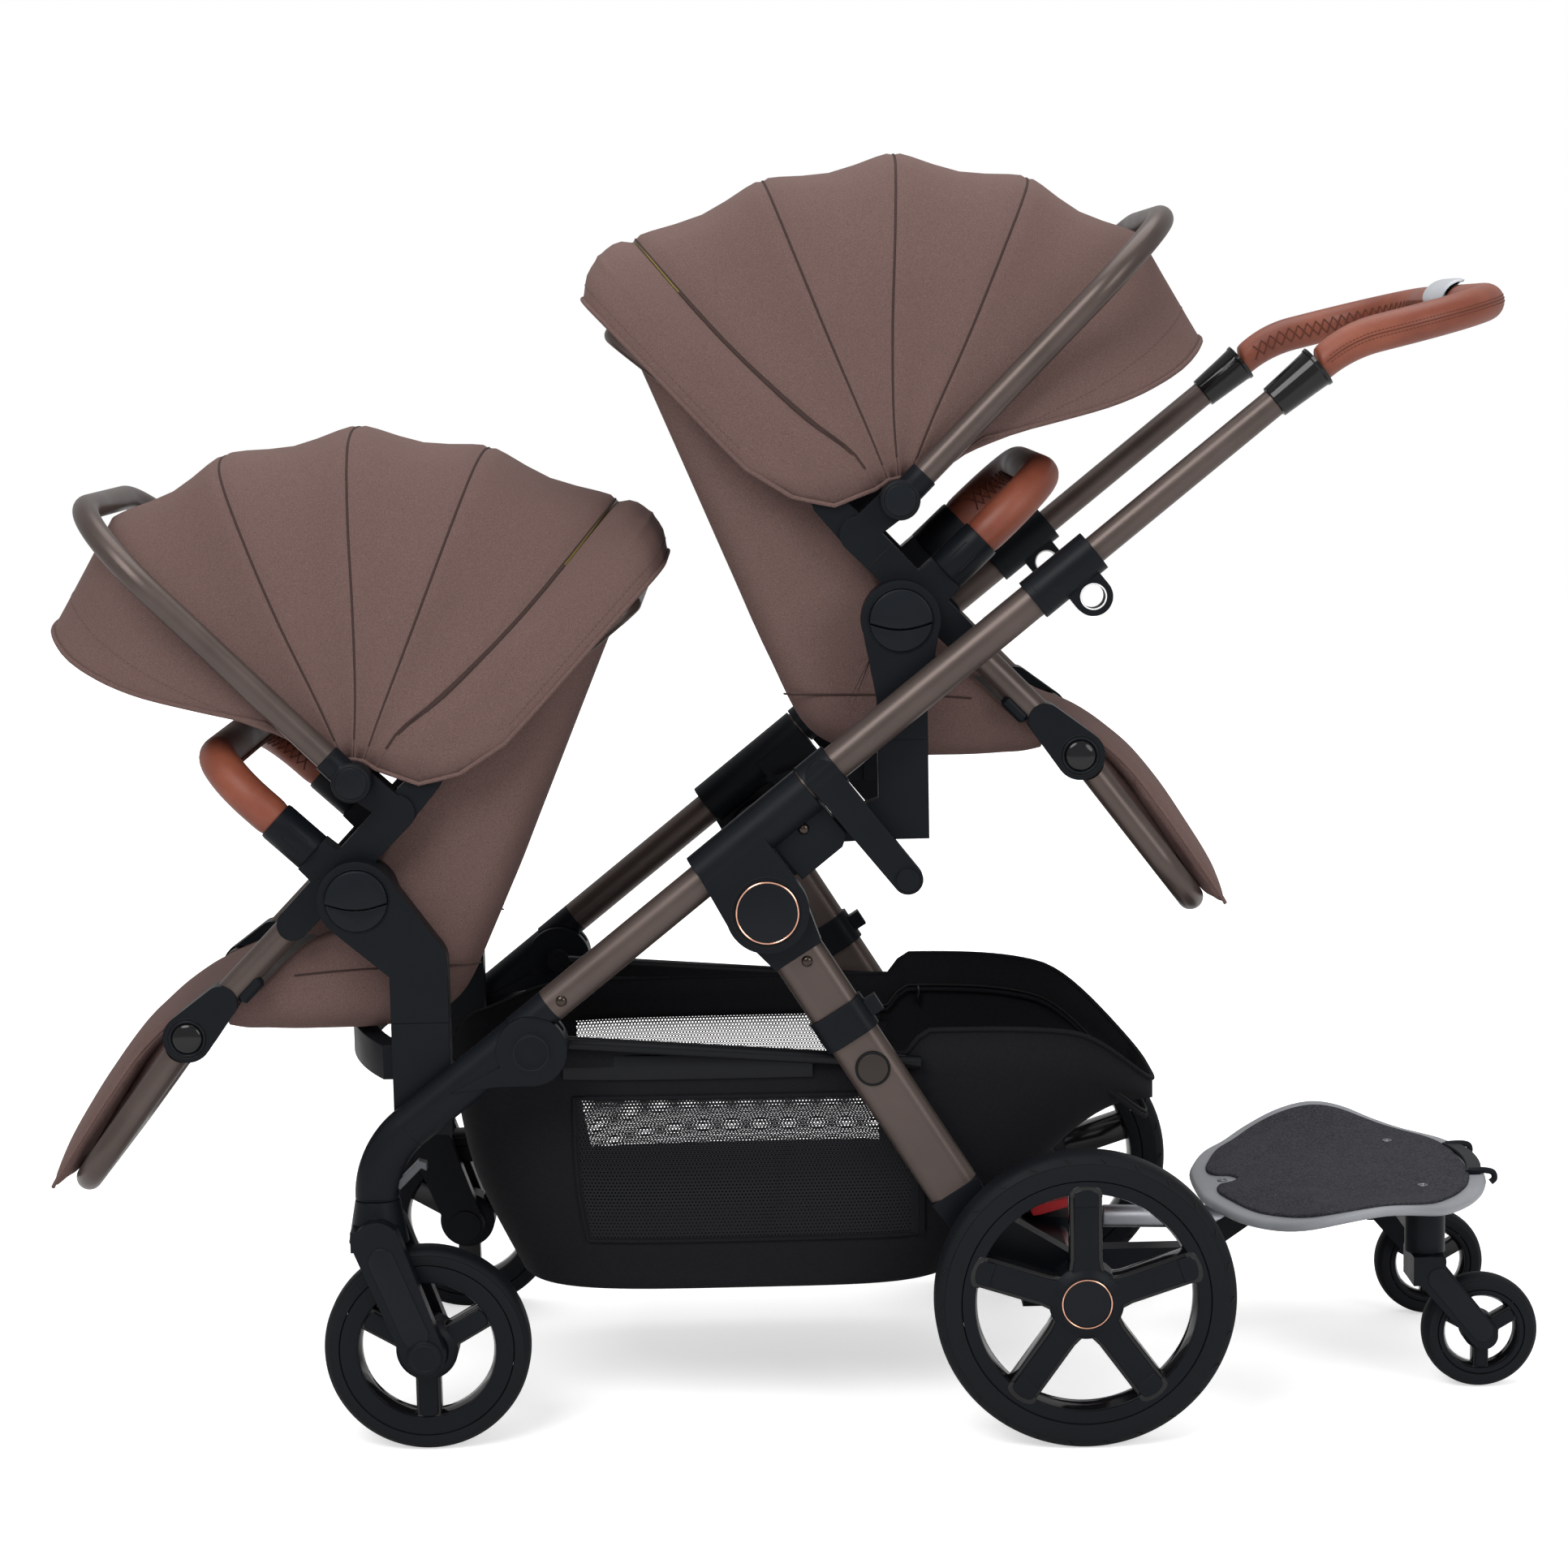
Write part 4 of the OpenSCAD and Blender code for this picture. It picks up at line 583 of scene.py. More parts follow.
# ---------------------------------------------------------------- hood
# Each rib: its side line from foot to crown, measured from the hood's pivot, and the squareness of its arch
HOOD_RIBS = [
    ([(-102, 4), (-128, 16), (-170, 57), (-247, 140), (-301, 196)], 6.0),
    ([(-62, -5), (-90, 22), (-150, 84), (-232, 175), (-287, 238)], 4.2),
    ([(-22, 10), (-42, 44), (-89, 82), (-165, 155), (-252, 256)], 3.2),
    ([(-10, 18), (-27, 62), (-62, 148), (-92, 226), (-124, 311)], 2.7),
    ([(0, 20), (-4, 80), (-3, 165), (2, 250), (7, 335)], 2.6),
    ([(10, 20), (33, 76), (68, 150), (104, 230), (140, 309)], 2.6),
    ([(20, 14), (70, 66), (128, 128), (188, 188), (250, 250)], 2.7),
    ([(82, 56), (148, 71), (218, 90), (274, 118), (306, 148)], 2.8),
]
HOOD_COLUMNS = 60
HOOD_STEPS = (0.0, 0.05, 0.13, 0.3, 0.5, 0.7, 0.87, 0.95)
HOOD_SEAM_RIBS = (2, 3, 4, 5)


def hood_row(line, square, scale):
    row = []
    for k in range(HOOD_COLUMNS + 1):
        a = math.pi * k / HOOD_COLUMNS
        rise = abs(math.sin(a)) ** (2 / square)
        across = squared(math.cos(a), 2 / square)
        at = rise * (len(line) - 1)
        i = min(int(at), len(line) - 2)
        p = mix_points(line[i], line[i + 1], at - i)
        side = -across * HOOD_HALF * mix(1, scale, 0.6)
        row.append((HOOD_PIVOT[0] + p[0] * scale, side, HOOD_PIVOT[1] + p[1] * scale))
    return row


def hood_rows():
    rows = []
    for i in range(len(HOOD_RIBS) - 1):
        (line_a, square_a), (line_b, square_b) = HOOD_RIBS[i], HOOD_RIBS[i + 1]
        line_a, line_b = smooth_path(line_a, 4), smooth_path(line_b, 4)
        for t in HOOD_STEPS:
            line = [mix_points(a, b, t) for a, b in zip(line_a, line_b)]
            hollow = math.sin(math.pi * t) ** 2
            scale = 1.0
            if 2 <= i <= 5:
                scale -= 0.022 * hollow
            elif i < 2:
                scale += 0.010 * hollow
            if t == 0 and i in HOOD_SEAM_RIBS:
                scale -= 0.008
            if i == 1 and t > 0.8:
                scale -= 0.012
            rows.append(hood_row(line, mix(square_a, square_b, t), scale))
    line, square = HOOD_RIBS[-1]
    rows.append(hood_row(smooth_path(line, 4), square, 1.0))
    return rows


def make_hood(seat, place):
    rows = hood_rows()
    cover = Piece(f"{seat}_hood_cover", place).add(rows_surface(rows), MOCHA).make(crease=60)
    thicken(cover, 2.4)
    settle(cover, None, (f"{seat}_canopy_cover",))
    seams = Piece(f"{seat}_hood_seams", place)
    steps = len(HOOD_STEPS)
    # Dark bars along the seam ribs and on either side of the zip: painted shade in the seam grooves and in the zip's
    # gape.
    for i in HOOD_SEAM_RIBS:
        seams.add(bar_surface(rows[i * steps][1:-1], 1.3, 8), SEAM_SHADE)
    zipped = rows[2 * steps - 1]
    gape_shade = [0.5, 0.8, 1.2, 1.7, 2.2, 2.3, 2.1] + [1.8] * 9
    seams.add(bar_surface(zipped[2:18], gape_shade, 8), SEAM_SHADE)
    seams.add(bar_surface(zipped[17:44], 1.5, 8), ZIP)
    seams.add(bar_surface(zipped[43:59], gape_shade[::-1], 8), SEAM_SHADE)
    for row in (rows[0], rows[-1]):
        seams.add(bar_surface(row, 2.4, 10), MOCHA)
    for column in (0, HOOD_COLUMNS):
        seams.add(bar_surface([row[column] for row in rows], 2.2, 10), MOCHA)
    trim = seams.make(None, "mocha_cloth", crease=80)
    lines = [[place(p) for p in row[2:-2]] for row in (rows[3], rows[-4])]
    stitches = stitch_rows(f"{seat}_hood_stitches", lines, 5.0, 3.4, 0.5, THREAD)
    back, front = (metres(place((x, 0, 330))) for x in (-190, 230))
    for obj in (cover, trim, stitches):
        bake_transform(obj)


# ---------------------------------------------------------------- seat bucket, liner and harness
# Each station: x, z, lean of the inward normal, height of its side, share of the seat's half width
SHELL_STATIONS = [
    (-262, 284, 24, 40, 0), (-210, 160, 23, 78, 0), (-160, 40, 23, 120, 0), (-126, -40, 28, 130, 0.8),
    (-88, -112, 52, 116, 1), (-30, -137, 84, 108, 1), (50, -141, 90, 96, 1), (110, -139, 92, 44, 1),
    (138, -134, 96, 34, 1),
]
SHELL_BACK_HALF, SHELL_SEAT_HALF = 154.4, 164.4
SHELL_FLOOR, SHELL_WALL = 24, 14


def bucket_outline(half, high):
    """Closed outline of the padded bucket, across and upwards from its underside."""
    top = SHELL_WALL / 2
    r = min(34, high * 0.7)
    inner = half - SHELL_WALL
    ri = max(2, min(26, high - SHELL_FLOOR - top - 1))
    shares = (0.75, 0.5, 0.25, 0, -0.25, -0.5, -0.75)
    out = arc_points(half - top, high - top, top, 90, 0)
    out += arc_points(half - r, r, r, 0, -90)
    out += [(s * (half - r), 0) for s in shares]
    out += arc_points(-half + r, r, r, -90, -180)
    out += arc_points(-half + top, high - top, top, 180, 0, 12)
    out += arc_points(-inner + ri, SHELL_FLOOR + ri, ri, 180, 270)
    out += [(-s * (inner - ri), SHELL_FLOOR) for s in shares]
    out += arc_points(inner - ri, SHELL_FLOOR + ri, ri, 270, 360)
    out += arc_points(half - top, high - top, top, 180, 100)
    return out


def shell_rows():
    """Rings of the bucket from its top to its front edge, with both end edges rounded over."""
    rows = []
    stations = smooth_path(SHELL_STATIONS, 6)
    rounding = {0: (-5.0, -1.5, 0.0), len(stations) - 1: (0.0, 1.5, 5.0)}
    for n, (x, z, lean, high, share) in enumerate(stations):
        half = mix(SHELL_BACK_HALF, SHELL_SEAT_HALF, min(1, max(0, share)))
        outline = bucket_outline(half, high)
        for inset in rounding.get(n, (0.0,)):
            ring = outline_inset(outline, -abs(inset)) if inset else outline
            rows.append([along((x, z), lean, v, -0.6 * inset, u) for u, v in ring])
    return rows


def make_shell(seat, place):
    body = f"{seat}_seat"
    shell = Piece(f"{seat}_seat_cover", place).add(tube_surface(shell_rows()), MOCHA)
    cover = shell.make(body, "mocha_cloth", (f"{seat}_seat_shell",), crease=70)
    seams = Piece(f"{seat}_seat_seams", place)
    half = SHELL_SEAT_HALF + 0.2
    # Dark bars along the belt seam: painted shade in its groove.
    belt = [(-112, 151, -75), (-104, 160, -75), (-88, half, -75), (-40, half, -76), (20, half, -78), (70, half, -82)]
    for side in (-1, 1):
        seams.add(bar_surface(smooth_path(to_side(belt, side), 5), 1.0, 8), SEAM_SHADE)
    seams.make(body, "mocha_cloth")
    make_liner(seat, place, body)


LINER_LINE = [(-196, 258), (-150, 140), (-106, 18), (-66, -66), (-14, -103), (60, -109), (126, -106)]
# Each belt of one side: its line, half width, the way it faces
HARNESS_BELTS = (
    ([(-168, 52, 214), (-138, 50, 150), (-96, 42, 60), (-52, 28, -16), (-10, 12, -62)], 12, (1, 0, 0.5)),
    ([(-72, 112, -44), (-50, 84, -56), (-26, 44, -66), (-8, 14, -70)], 11, (0.2, 0, 1)),
)
SHOULDER_PAD = [(-150, 51, 176), (-118, 46, 108), (-88, 40, 46)]


def make_liner(seat, place, body):
    """Loose padded liner, two shoulder straps, a lap strap and a buckle."""
    line = smooth_path(LINER_LINE, 8)
    rows = []
    for i, p in enumerate(line):
        q, o = line[min(i + 1, len(line) - 1)], line[max(i - 1, 0)]
        way = Vector((q[0] - o[0], q[1] - o[1])).normalized()
        end = min(i, len(line) - 1 - i)
        thick = 9 if end > 1 else (4, 7)[end]
        thick *= 1 - 0.28 * (i % 12 == 6)
        half = 116 - (0 if end > 2 else (12, 5, 2)[end])
        ring = []
        for c, s in circle(40):
            u = squared(c, 0.35) * half
            v = 10 + squared(s, 0.7) * thick * (1 - 0.3 * math.exp(-(u / 7) ** 2))
            ring.append((p[0] - way.y * v, u, p[1] + way.x * v))
        rows.append(ring)
    liner = Piece(f"{seat}_liner", place).add(tube_surface(rows), LINER)
    cushion = liner.make(body, "mocha_cloth", crease=80)
    plump(cushion, 5)
    belts = Piece(f"{seat}_harness", place)
    for side in (-1, 1):
        for strap, half, toward in HARNESS_BELTS:
            belts.add(ribbon_surface(smooth_path(to_side(strap, side), 8), half, 1.4, toward), WEBBING)
        pad = smooth_path(to_side(SHOULDER_PAD, side), 8)
        belts.add(bar_surface(pad, [4] + [10] * 15 + [4], 14), LINER)
    crotch = smooth_path([(-4, 0, -66), (8, 0, -78), (22, 0, -92)], 8)
    belts.add(ribbon_surface(crotch, 11, 1.6, (1, 0, 0.6)), WEBBING)
    buckle = 20 * place((0, 1, 0))[1]
    belts.add(disc_surface((-6, -62), 15, -buckle, buckle, 5, 40), BLACK)
    belts.make(body, "mocha_cloth", crease=60)


def plump(obj, most):
    """Lets inner pressure round a padded piece, as far as a set distance in millimetres."""
    scene = bpy.context.scene
    remesh = obj.modifiers.new("even_faces", "REMESH")
    remesh.mode = "VOXEL"
    remesh.voxel_size = 5 * MM
    apply_modifiers(obj)
    before = [v.co.copy() for v in obj.data.vertices]
    cloth_modifier = obj.modifiers.new("padding", "CLOTH")
    settings = cloth_modifier.settings
    settings.quality = 4
    settings.use_pressure = True
    settings.uniform_pressure_force = 4
    settings.tension_stiffness = settings.compression_stiffness = 12
    settings.effector_weights.gravity = 0
    cloth_modifier.point_cache.frame_start = 1
    cloth_modifier.point_cache.frame_end = 20
    for f in range(1, 21):
        scene.frame_set(f)
    apply_modifiers(obj)
    scene.frame_set(1)
    for vertex, old in zip(obj.data.vertices, before):
        move = vertex.co - old
        if move.length > most * MM:
            vertex.co = old + move.normalized() * most * MM
    smoother = obj.modifiers.new("smooth", "SUBSURF")
    smoother.levels = smoother.render_levels = 1
    apply_modifiers(obj)
    obj.data.polygons.foreach_set("use_smooth", [True] * len(obj.data.polygons))


# ---------------------------------------------------------------- leg rest pad
# Each station: way along from the joint, underside, top of its edge, crown, share of the width
LEG_PAD = [(4, 6, 15, 16, 0.98), (12, -2, 19, 20, 1), (34, -7, 20, 22, 1), (60, -8, 20, 22, 1), (110, -8, 19, 21, 1),
           (150, -8, 16.5, 18.5, 0.93), (174, -6, 14, 16, 0.82), (181, -1, 12, 13.5, 0.78)]
LEG_FLAP = [(-52, -8, -2, 0, 0.88), (-36, -4, 3, 6, 0.9), (0, 13, 22, 28, 0.92), (45, 22, 31, 42, 0.95),
            (95, 20, 31, 45, 1), (140, 17.5, 29, 42.5, 1), (178, 16, 27, 38, 0.99), (200, 16, 25, 32, 0.97),
            (208, 17, 24, 27.5, 0.955), (211.5, 19, 22.5, 24.5, 0.945)]
LEG_PAD_HALF, LEG_FLAP_HALF = 162, 173


def pad_surface(stations, half):
    """Closed rings of a crowned pad along the leg rest."""
    rings = []
    for s, low, edge, crown, share in smooth_path(stations, 6):
        ring = []
        middle = (low + edge) / 2
        for c, d in circle(48):
            u, v = squared(c, 0.3), squared(d, 0.65)
            top = mix(crown, edge, abs(u) ** 2.5)
            n = middle + v * ((top - middle) if v > 0 else (middle - low))
            ring.append(along(SEAT_JOINT, LEG_LEAN, s, n, u * half * share))
        rings.append(ring)
    return tube_surface(rings)


def make_leg_rest(seat, place):
    """Thin pad between the tubes and the fuller flap that runs over it from the seat's front edge."""
    rest = f"{seat}_leg_rest"
    pad = Piece(f"{seat}_leg_pad", place).add(pad_surface(LEG_PAD, LEG_PAD_HALF), MOCHA)
    cushion = pad.make(rest, "mocha_cloth", (f"{rest}_pad",), crease=80)
    plump(cushion, 3)
    flap = Piece(f"{seat}_leg_flap", place).add(pad_surface(LEG_FLAP, LEG_FLAP_HALF), MOCHA)
    cover = flap.make(None, "mocha_cloth", crease=80)
    plump(cover, 3)
    welt = Piece(f"{seat}_leg_welt", place)
    for side in (-1, 1):
        line = [along(SEAT_JOINT, LEG_LEAN, s, edge - 1, side * (LEG_FLAP_HALF + 1) * share)
                for s, _, edge, _, share in smooth_path(LEG_FLAP[1:-1], 6)]
        welt.add(bar_surface(line, 2.0, 10), MOCHA)
    welt = welt.make(None, "mocha_cloth", crease=80)
    start, end = (metres(place(along(SEAT_JOINT, LEG_LEAN, s, n))) for s, n in ((-34, 0), (16, 24)))
    for obj in (cover, welt):
        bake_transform(obj)


# ---------------------------------------------------------------- basket
BASKET_HALF = 202.95
# Each ring: front x, rear x, half width, height, drop at the rear tip
BASKET_RINGS = [(-296, 168, 190, 139, 0), (-342, 275, 200, 240, -33), (-362, 353.9, BASKET_HALF, 352, 66),
                (-362, 353.9, BASKET_HALF, 372, 66)]
BASKET_COLUMNS = 180
BASKET_STEPS = 22
FLOOR_INSETS = (150, 90, 40, 12, 3)
# Of each side's window: its ends along the basket at one share of the wall's height, and its lower and upper edge
NET_X = {-1: (-230, 104), 1: (-248, 88)}
NET_MIDDLE = 0.6
NET_SHARES = (0.27, 0.88)
NET_PITCH = 3.5


def basket_point(ring, angle, sink=0.0):
    x0, x1, half, z, drop = ring
    c, s = math.cos(angle), math.sin(angle)
    narrow = 1 - 0.3 * c ** 4 if c > 0 else 1
    x = mix(x0, x1, 0.5) + squared(c, 0.5) * ((x1 - x0) / 2 - sink)
    return (x, squared(s, 0.5) * (half - sink) * narrow, z - drop * max(0, c) ** 3)


def rim_point(angle):
    """A point of the rim, which stands higher where the cloth wraps the rails at the rear and dips at the front."""
    x, y, z = basket_point(BASKET_RINGS[3], angle)
    return (x, y, z + 22 * ease((x - 98) / 13) * ease((346 - x) / 90) - 17 * ease((-266 - x) / 80))


def basket_angles():
    """Angles that share the outline of the middle ring into even steps."""
    dense = [2 * math.pi * k / 1440 for k in range(1441)]
    spots = [basket_point(BASKET_RINGS[1], a) for a in dense]
    lengths = [0.0]
    for a, b in zip(spots, spots[1:]):
        lengths.append(lengths[-1] + math.dist(a, b))
    out, i = [], 0
    for k in range(BASKET_COLUMNS):
        goal = lengths[-1] * k / BASKET_COLUMNS
        while lengths[i + 1] < goal:
            i += 1
        out.append(mix(dense[i], dense[i + 1], (goal - lengths[i]) / (lengths[i + 1] - lengths[i])))
    return out


def basket_wall_point(angle, share):
    """A point on the wall: share 0 at the floor, 1 at the rim."""
    column = [basket_point(ring, angle) for ring in BASKET_RINGS[:3]]
    i = min(int(share * 2), 1)
    return spline(column, i, share * 2 - i)


def in_net(angle, share):
    first, last = NET_X[1 if math.sin(angle) > 0 else -1]
    inside = first < basket_wall_point(angle, NET_MIDDLE)[0] and basket_wall_point(angle, share)[0] < last
    flat = abs(math.sin(angle)) > 0.8
    return flat and inside and NET_SHARES[0] < share < NET_SHARES[1]


def make_basket():
    """Cloth bag with an opening for each net window."""
    angles = basket_angles()
    rows = [[basket_point(BASKET_RINGS[0], a, inset) for a in angles] for inset in FLOOR_INSETS]
    rows[1:] = [[(x, y, z - 3) for x, y, z in row] for row in rows[1:]]
    rows += [[basket_wall_point(a, k / BASKET_STEPS) for a in angles] for k in range(BASKET_STEPS + 1)]
    rim = [rim_point(a) for a in angles]
    points, faces = rows_surface(rows + [rim], closed=True)
    kept = []
    for face in faces:
        row, column = divmod(face[0], BASKET_COLUMNS)
        share = (row - len(FLOOR_INSETS) + 0.5) / BASKET_STEPS
        nxt = angles[(column + 1) % BASKET_COLUMNS]
        angle = (angles[column] + (nxt if nxt > angles[column] else nxt + 2 * math.pi)) / 2
        if not (0 < share < 1 and in_net(angle, share)):
            kept.append(face)
    kept.append(tuple(reversed(range(BASKET_COLUMNS))))
    bag = Piece("basket_bag").add((points, kept), BASKET_CLOTH).make(crease=70)
    thicken(bag, 2)
    settle(bag, "basket_frame", ("basket",))
    make_basket_trim(rim)
    make_net()


def make_basket_trim(rim):
    """Hem, rear pocket with its zip pull, borders of the windows, and the cloth over the rails."""
    trim = Piece("basket_trim")
    trim.add(bar_surface(rim + rim[:1], 2.4, 10), BASKET_CLOTH)
    pocket = [(x - 7 * abs(x) / 354, y * 0.972, z - 34) for x, y, z in rim[-38:] + rim[:39]]
    # A near-black bar along the pocket's opening: painted shade.
    trim.add(bar_surface(pocket, 1.8, 8), GAP_SHADE)
    trim.add(bar_surface([(x, y, z - 5) for x, y, z in pocket], 2.6, 10), BASKET_CLOTH)
    x, y, z = pocket[-6]
    trim.add(bar_surface([(x, y - 2, z - d) for d in (0, 3, 18, 22)], [1.2, 2.4, 2.4, 1.2], 10), GLOSS)
    for side in (-1, 1):
        edge = []
        for share, first, last in ((NET_SHARES[0], 0, 1), (NET_SHARES[1], 1, 0)):
            ends = net_end(side, first, share), net_end(side, last, share)
            edge += [wall_at(side, mix(*ends, k / 24), share, -0.5) for k in range(25)]
            run = [mix(share, NET_SHARES[last], k / 6) for k in range(1, 6)]
            edge += [wall_at(side, net_end(side, last, level), level, -0.5) for level in run]
        trim.add(bar_surface(edge + edge[:1], 2.0, 8), BASKET_CLOTH)
        tape = [wall_at(side, NET_X[side][1], mix(*NET_SHARES, k / 12), -0.9) for k in range(13)]
        trim.add(ribbon_surface(tape, 7, 1.0, (0, side, 0)), BASKET_CLOTH)
        strip = [wall_at(side, mix(-240, 3, k / 20), 0.985, -2.5) for k in range(21)]
        trim.add(ribbon_surface([(x, y, 363) for x, y, _ in strip], 12, 1.2, (0, side, 0)), BLACK_PAINT)
        sleeve = []
        for x in range(-252, 61, 24):
            top = mix(394, 368, (x + 266) / 326)
            sleeve.append([(x, side * y, z) for y, z in ((201.4, 364), (202.8, 364), (202.8, top), (201.4, top))])
        trim.add(tube_surface(sleeve), BASKET_CLOTH)
    trim.make("basket_frame", "basket_cloth", crease=60)


def wall_angle(side, x, share):
    """Angle around the basket of the point on one side of its wall at a given x."""
    a, b = (math.pi, 0.0) if side > 0 else (-math.pi, 0.0)
    for _ in range(40):
        m = (a + b) / 2
        if basket_wall_point(m, share)[0] < x:
            a = m
        else:
            b = m
    return (a + b) / 2


def wall_at(side, x, share, sink):
    """Point on the flat side of the wall at a given x."""
    p = basket_wall_point(wall_angle(side, x, share), share)
    return (p[0], p[1] - side * sink, p[2])


def net_end(side, end, share):
    """The x of a window's end at one height; the front end runs along the wall's columns, the rear one upright."""
    if end:
        return NET_X[side][end]
    return basket_wall_point(wall_angle(side, NET_X[side][end], NET_MIDDLE), share)[0]


def make_net():
    """Knitted net in both side windows: hexagon rings set on points of the wall by geometry nodes."""
    height = 2 * (BASKET_RINGS[1][3] - BASKET_RINGS[0][3])
    count_z = int((NET_SHARES[1] - NET_SHARES[0]) * height / (NET_PITCH * 0.866))
    for side, word in SIDES:
        spots = []
        for j in range(-3, count_z + 4):
            share = mix(*NET_SHARES, j / count_z)
            first = net_end(side, 0, share) - 10
            count_x = int((net_end(side, 1, share) + 10 - first) / NET_PITCH)
            first = NET_PITCH * (round(first / NET_PITCH) + 0.5 * (j % 2))
            spots += [wall_at(side, first + i * NET_PITCH, share, 1.2) for i in range(count_x)]
        net = repeat_on_points(f"basket_net_{word}", spots, hexagon_ring(), NET)
        settle(net, "basket_frame")


def hexagon_ring():
    """A thin flat hexagon ring in the side plane, the unit of the net."""
    outer, inner = NET_PITCH / math.sqrt(3) + 0.12, 0.52 * NET_PITCH / math.sqrt(3)
    corners = circle(12)[1::2]
    points = [(r * c, y, r * s) for y in (-0.25, 0.25) for r in (outer, inner) for c, s in corners]
    faces = []
    for k in range(6):
        m = (k + 1) % 6
        faces += [(k, m, 6 + m, 6 + k), (12 + k, 18 + k, 18 + m, 12 + m), (6 + k, 6 + m, 18 + m, 18 + k)]
    return Piece("net_unit").add((points, faces), NET).make(crease=60)


def repeat_on_points(name, spots, unit, finish, directions=None):
    """Sets copies of one small unit on points, by a geometry node tree, and keeps the result as one mesh."""
    holder = Piece(name).add((spots, []), finish).make()
    if directions:
        turn = holder.data.attributes.new("way", "FLOAT_VECTOR", "POINT")
        turn.data.foreach_set("vector", [c for d in directions for c in d])
    modifier = holder.modifiers.new("repeat", "NODES")
    modifier.node_group = REPEAT_TREE
    sockets = {item.name: item.identifier for item in REPEAT_TREE.interface.items_tree if item.in_out == "INPUT"}
    modifier[sockets["Unit"]] = unit
    modifier[sockets["Finish"]] = finish
    apply_modifiers(holder)
    bpy.data.objects.remove(unit)
    return holder


def repeat_tree():
    tree = bpy.data.node_groups.new("RepeatOnPoints", "GeometryNodeTree")
    for label, kind, way in (("Geometry", "Geometry", "INPUT"), ("Unit", "Object", "INPUT"),
                             ("Finish", "Material", "INPUT"), ("Geometry", "Geometry", "OUTPUT")):
        tree.interface.new_socket(label, in_out=way, socket_type=f"NodeSocket{kind}")
    start, end, info, way, align, place, real, paint = (tree.nodes.new(kind) for kind in (
        "NodeGroupInput", "NodeGroupOutput", "GeometryNodeObjectInfo", "GeometryNodeInputNamedAttribute",
        "FunctionNodeAlignRotationToVector", "GeometryNodeInstanceOnPoints", "GeometryNodeRealizeInstances",
        "GeometryNodeSetMaterial"))
    way.data_type = "FLOAT_VECTOR"
    way.inputs["Name"].default_value = "way"
    align.axis = "X"
    link = tree.links.new
    link(start.outputs["Unit"], info.inputs["Object"])
    link(start.outputs["Geometry"], place.inputs["Points"])
    link(info.outputs["Geometry"], place.inputs["Instance"])
    link(way.outputs[0], align.inputs["Vector"])
    link(align.outputs[0], place.inputs["Rotation"])
    link(place.outputs[0], real.inputs[0])
    link(real.outputs[0], paint.inputs["Geometry"])
    link(start.outputs["Finish"], paint.inputs["Material"])
    link(paint.outputs[0], end.inputs[0])
    return tree


REPEAT_TREE = repeat_tree()


def tapered_unit(name, half, length, thick, tip, finish):
    """A short bar with tapered ends, the unit of stitches and of the painted shade of tread notches."""
    path = [(-length, 0, 0), (-half, 0, 0), (half, 0, 0), (length, 0, 0)]
    return Piece(name).add(bar_surface(path, [tip, thick, thick, tip], 6), finish).make()


def stitch_rows(name, paths, spacing, length, thick, finish):
    """Rows of single stitches along given lines."""
    spots, ways = [], []
    for path in paths:
        left = spacing / 2
        for a, b in zip(path, path[1:]):
            step = math.dist(a, b)
            if step < 1e-6:
                continue
            way = tuple((v - u) / step for u, v in zip(a, b))
            while left < step:
                spots.append(mix_points(a, b, left / step))
                ways.append(way)
                left += spacing
            left -= step
    half = length / 2 - thick
    unit = tapered_unit("stitch_unit", half, half + thick * 0.9, thick, thick * 0.3, THREAD)
    return repeat_on_points(name, spots, unit, finish, ways)


# ---------------------------------------------------------------- leather grip and bumper bars
# Lines along the sleeve: angle from its outer side and lift; the seam, two rows of stitches, then the lacing's three
LEATHER_LINES = ((0, -0.25), (10, 0.05), (-10, 0.05), (155, 0.4), (180, 0.5), (205, 0.4))


def leather_loop(name, path, radius, body, node, plane_up, outer_rows):
    """Leather sleeve along a bent bar, laced inside, and where asked a seam outside with stitches on both sides."""
    up = Vector(plane_up)
    count = len(path)
    rows, marks = [], []
    for i, (p, tangent, _, _) in enumerate(path_frames(path)):
        out = tangent.cross(up).normalized()
        end = min(i, count - 1 - i)
        r = radius * (1 if end > 2 else (0.93, 0.985, 1.0)[end])
        rows.append([tuple(p + out * c * r + up * s * r) for c, s in circle(28)])
        spokes = [(direction(degrees), r + lift) for degrees, lift in LEATHER_LINES]
        marks.append([tuple(p + out * c * far + up * s * far) for (c, s), far in spokes])
    lines = list(zip(*marks))
    sleeve = Piece(name).add(tube_surface(rows), LEATHER)
    if outer_rows:
        sleeve.add(bar_surface(lines[0][2:-2], 0.75, 6), LEATHER_THREAD)
    for i in range(3, count - 5, 2):
        for first, last in ((3, 5), (5, 3)):
            thread = [marks[i][first], marks[i + 1][4], marks[i + 2][last]]
            sleeve.add(bar_surface(thread, 0.8, 6), LEATHER_THREAD)
    sleeve.make(body, "tan_leather", (node,), crease=70)
    if outer_rows:
        stitched = [line[3:-3] for line in lines[1:3]]
        settle(stitch_rows(f"{name}_stitches", stitched, 3.6, 2.6, 0.45, LEATHER_THREAD), body)


def loop_path(start, lean, first, reach, half, bend):
    """U-shaped path in even steps: a leg along the lean, a bend, the bar across, and back."""
    flat = [(0, -half)] + arc_points(reach - bend, bend - half, bend, -90, 0, 15)
    flat += [(x, -y) for x, y in reversed(flat)]
    even = []
    for a, b in zip(flat, flat[1:]):
        n = max(1, round(math.dist(a, b) / 5.0))
        even += [mix_points(a, b, k / n) for k in range(n)]
    even.append(flat[-1])
    return [along(start, lean, first + s, 0, y) for s, y in even]


